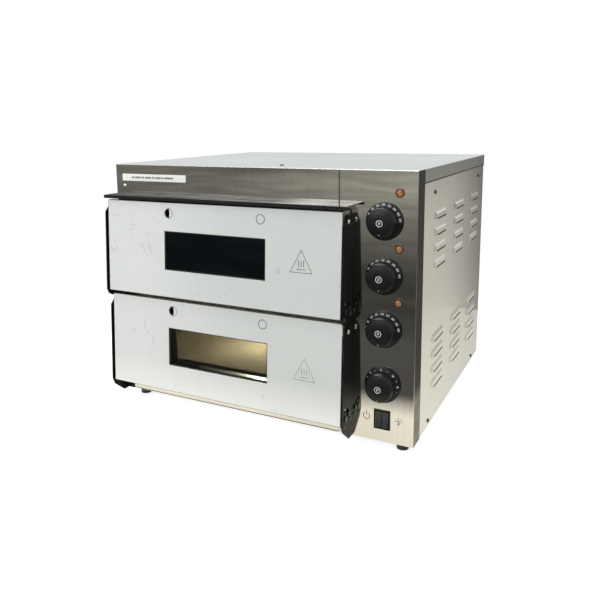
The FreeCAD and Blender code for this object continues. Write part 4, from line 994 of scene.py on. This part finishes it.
def floor():
    side = [FLOOR_REACH * (2 * i / FLOOR_STEPS - 1) for i in range(FLOOR_STEPS + 1)]
    points = [(x, y, 0.0) for y in side for x in side]
    row = FLOOR_STEPS + 1
    firsts = [j * row + i for j in range(FLOOR_STEPS) for i in range(FLOOR_STEPS)]
    faces = [(first, first + 1, first + row + 1, first + row) for first in firsts]
    stage_mesh("studio_floor", points, faces, floor_material())


def mirrored_card(name, x0, x1, y, height):
    """Upright dark card that only mirrors show, fading out towards its outer edge."""
    columns = 12
    points = [(x0 + (x1 - x0) * i / columns, y, z) for i in range(columns + 1) for z in (0.0, height)]
    faces = [(2 * i, 2 * i + 2, 2 * i + 3, 2 * i + 1) for i in range(columns)]
    s = Shader(name)
    cloth = s.noise(30.0, detail=3.0)
    s.set(color=s.mix(cloth, (0.02, 0.02, 0.02), (0.04, 0.04, 0.04)), roughness=0.9, specular=0.0)
    clear = s.node("ShaderNodeBsdfTransparent")
    fade = s.node("ShaderNodeMixShader")
    s.link(s.span(s.axis("X"), x0 + (x1 - x0) * 0.1, x1, 0.15, 1.0), fade.inputs[0])
    s.link(s.surface.outputs["BSDF"], fade.inputs[1])
    s.link(clear.outputs["BSDF"], fade.inputs[2])
    s.link(fade.outputs["Shader"], s.output.inputs["Surface"])
    made = stage_mesh(name, points, faces, s.material)
    made.visible_camera = False
    made.visible_diffuse = False
    made.visible_shadow = False
    made.visible_transmission = False


def area_light(name, place, target, size, watts, colour):
    data = bpy.data.lights.new(name, "AREA")
    data.shape = "RECTANGLE"
    data.size = size[0]
    data.size_y = size[1]
    data.energy = watts
    data.color = colour
    made = bpy.data.objects.new(name, data)
    bpy.context.scene.collection.objects.link(made)
    made.location = place
    made.rotation_mode = "QUATERNION"
    made.rotation_quaternion = (Vector(target) - Vector(place)).to_track_quat("-Z", "Y")
    made.visible_camera = False
    return made


def sky():
    world = bpy.data.worlds.new("studio")
    bpy.context.scene.world = world
    world.use_nodes = True
    tree = world.node_tree
    tree.nodes.clear()
    output = tree.nodes.new("ShaderNodeOutputWorld")
    seen = tree.nodes.new("ShaderNodeBackground")
    seen.inputs["Color"].default_value = (1.0, 1.0, 1.0, 1.0)
    seen.inputs["Strength"].default_value = 1.0
    room = tree.nodes.new("ShaderNodeBackground")
    room.inputs["Color"].default_value = (0.97, 0.99, 1.0, 1.0)
    room.inputs["Strength"].default_value = 0.75
    rays = tree.nodes.new("ShaderNodeLightPath")
    choose = tree.nodes.new("ShaderNodeMixShader")
    tree.links.new(rays.outputs["Is Camera Ray"], choose.inputs[0])
    tree.links.new(room.outputs["Background"], choose.inputs[1])
    tree.links.new(seen.outputs["Background"], choose.inputs[2])
    tree.links.new(choose.outputs["Shader"], output.inputs["Surface"])


CARD_GAP = 15 * MM
CARD_W = 130 * MM
CARD_Y = 0.62
CARD_H = 0.45
floor()
sky()
side_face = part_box("right_side_panel")[1].x
mirrored_card("rear_card", side_face + CARD_GAP, side_face + CARD_GAP + CARD_W, CARD_Y, CARD_H)
area_light("overhead_light", (0.3, -0.2, 2.4), (0.0, 0.0, 0.2), (2.4, 1.8), 32.0, (1.0, 1.0, 0.99))
area_light("front_light", (-0.9, -2.2, 1.5), (0.0, -0.2, 0.2), (1.6, 1.2), 22.0, (1.0, 1.0, 0.98))


def chamber_glow():
    """Lit chamber lamp of the lower deck, under the roof near the door."""
    low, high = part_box("lower_chamber_liner")
    stone_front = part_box("lower_hearth_stone")[0].y
    data = bpy.data.lights.new("lower_chamber_glow", "POINT")
    data.energy = 4.0
    data.color = (1.0, 0.77, 0.50)
    data.shadow_soft_size = 0.02
    made = bpy.data.objects.new("lower_chamber_glow", data)
    bpy.context.scene.collection.objects.link(made)
    made.location = ((low.x + high.x) / 2, stone_front + 120 * MM, high.z - 22 * MM)


chamber_glow()


# ---------------------------------------------------------------- camera
CAMERA_PLACE = (0.53705, -1.1345, 0.5083)
CAMERA_RIGHT = (0.89060, 0.45462, -0.01238)
CAMERA_DOWN = (0.06622, -0.15657, -0.98544)
CAMERA_FORWARD = (-0.44994, 0.87682, -0.16955)
CAMERA_SHIFT = (0.0167, -0.1083)
LENS_MM = 38.94
SENSOR_MM = 36.0


def camera():
    """Stands a little above the oven's top, ahead of its right corner."""
    data = bpy.data.cameras.new("camera")
    data.sensor_width = SENSOR_MM
    data.lens = LENS_MM
    data.shift_x, data.shift_y = CAMERA_SHIFT
    data.clip_start = 0.05
    data.clip_end = 60.0
    made = bpy.data.objects.new("camera", data)
    bpy.context.scene.collection.objects.link(made)
    axes = (Vector(CAMERA_RIGHT), -Vector(CAMERA_DOWN), -Vector(CAMERA_FORWARD))
    place = Matrix(axes).transposed().to_4x4()
    place.translation = Vector(CAMERA_PLACE)
    made.matrix_world = place
    bpy.context.scene.camera = made


camera()
bpy.context.scene.view_settings.view_transform = "Standard"
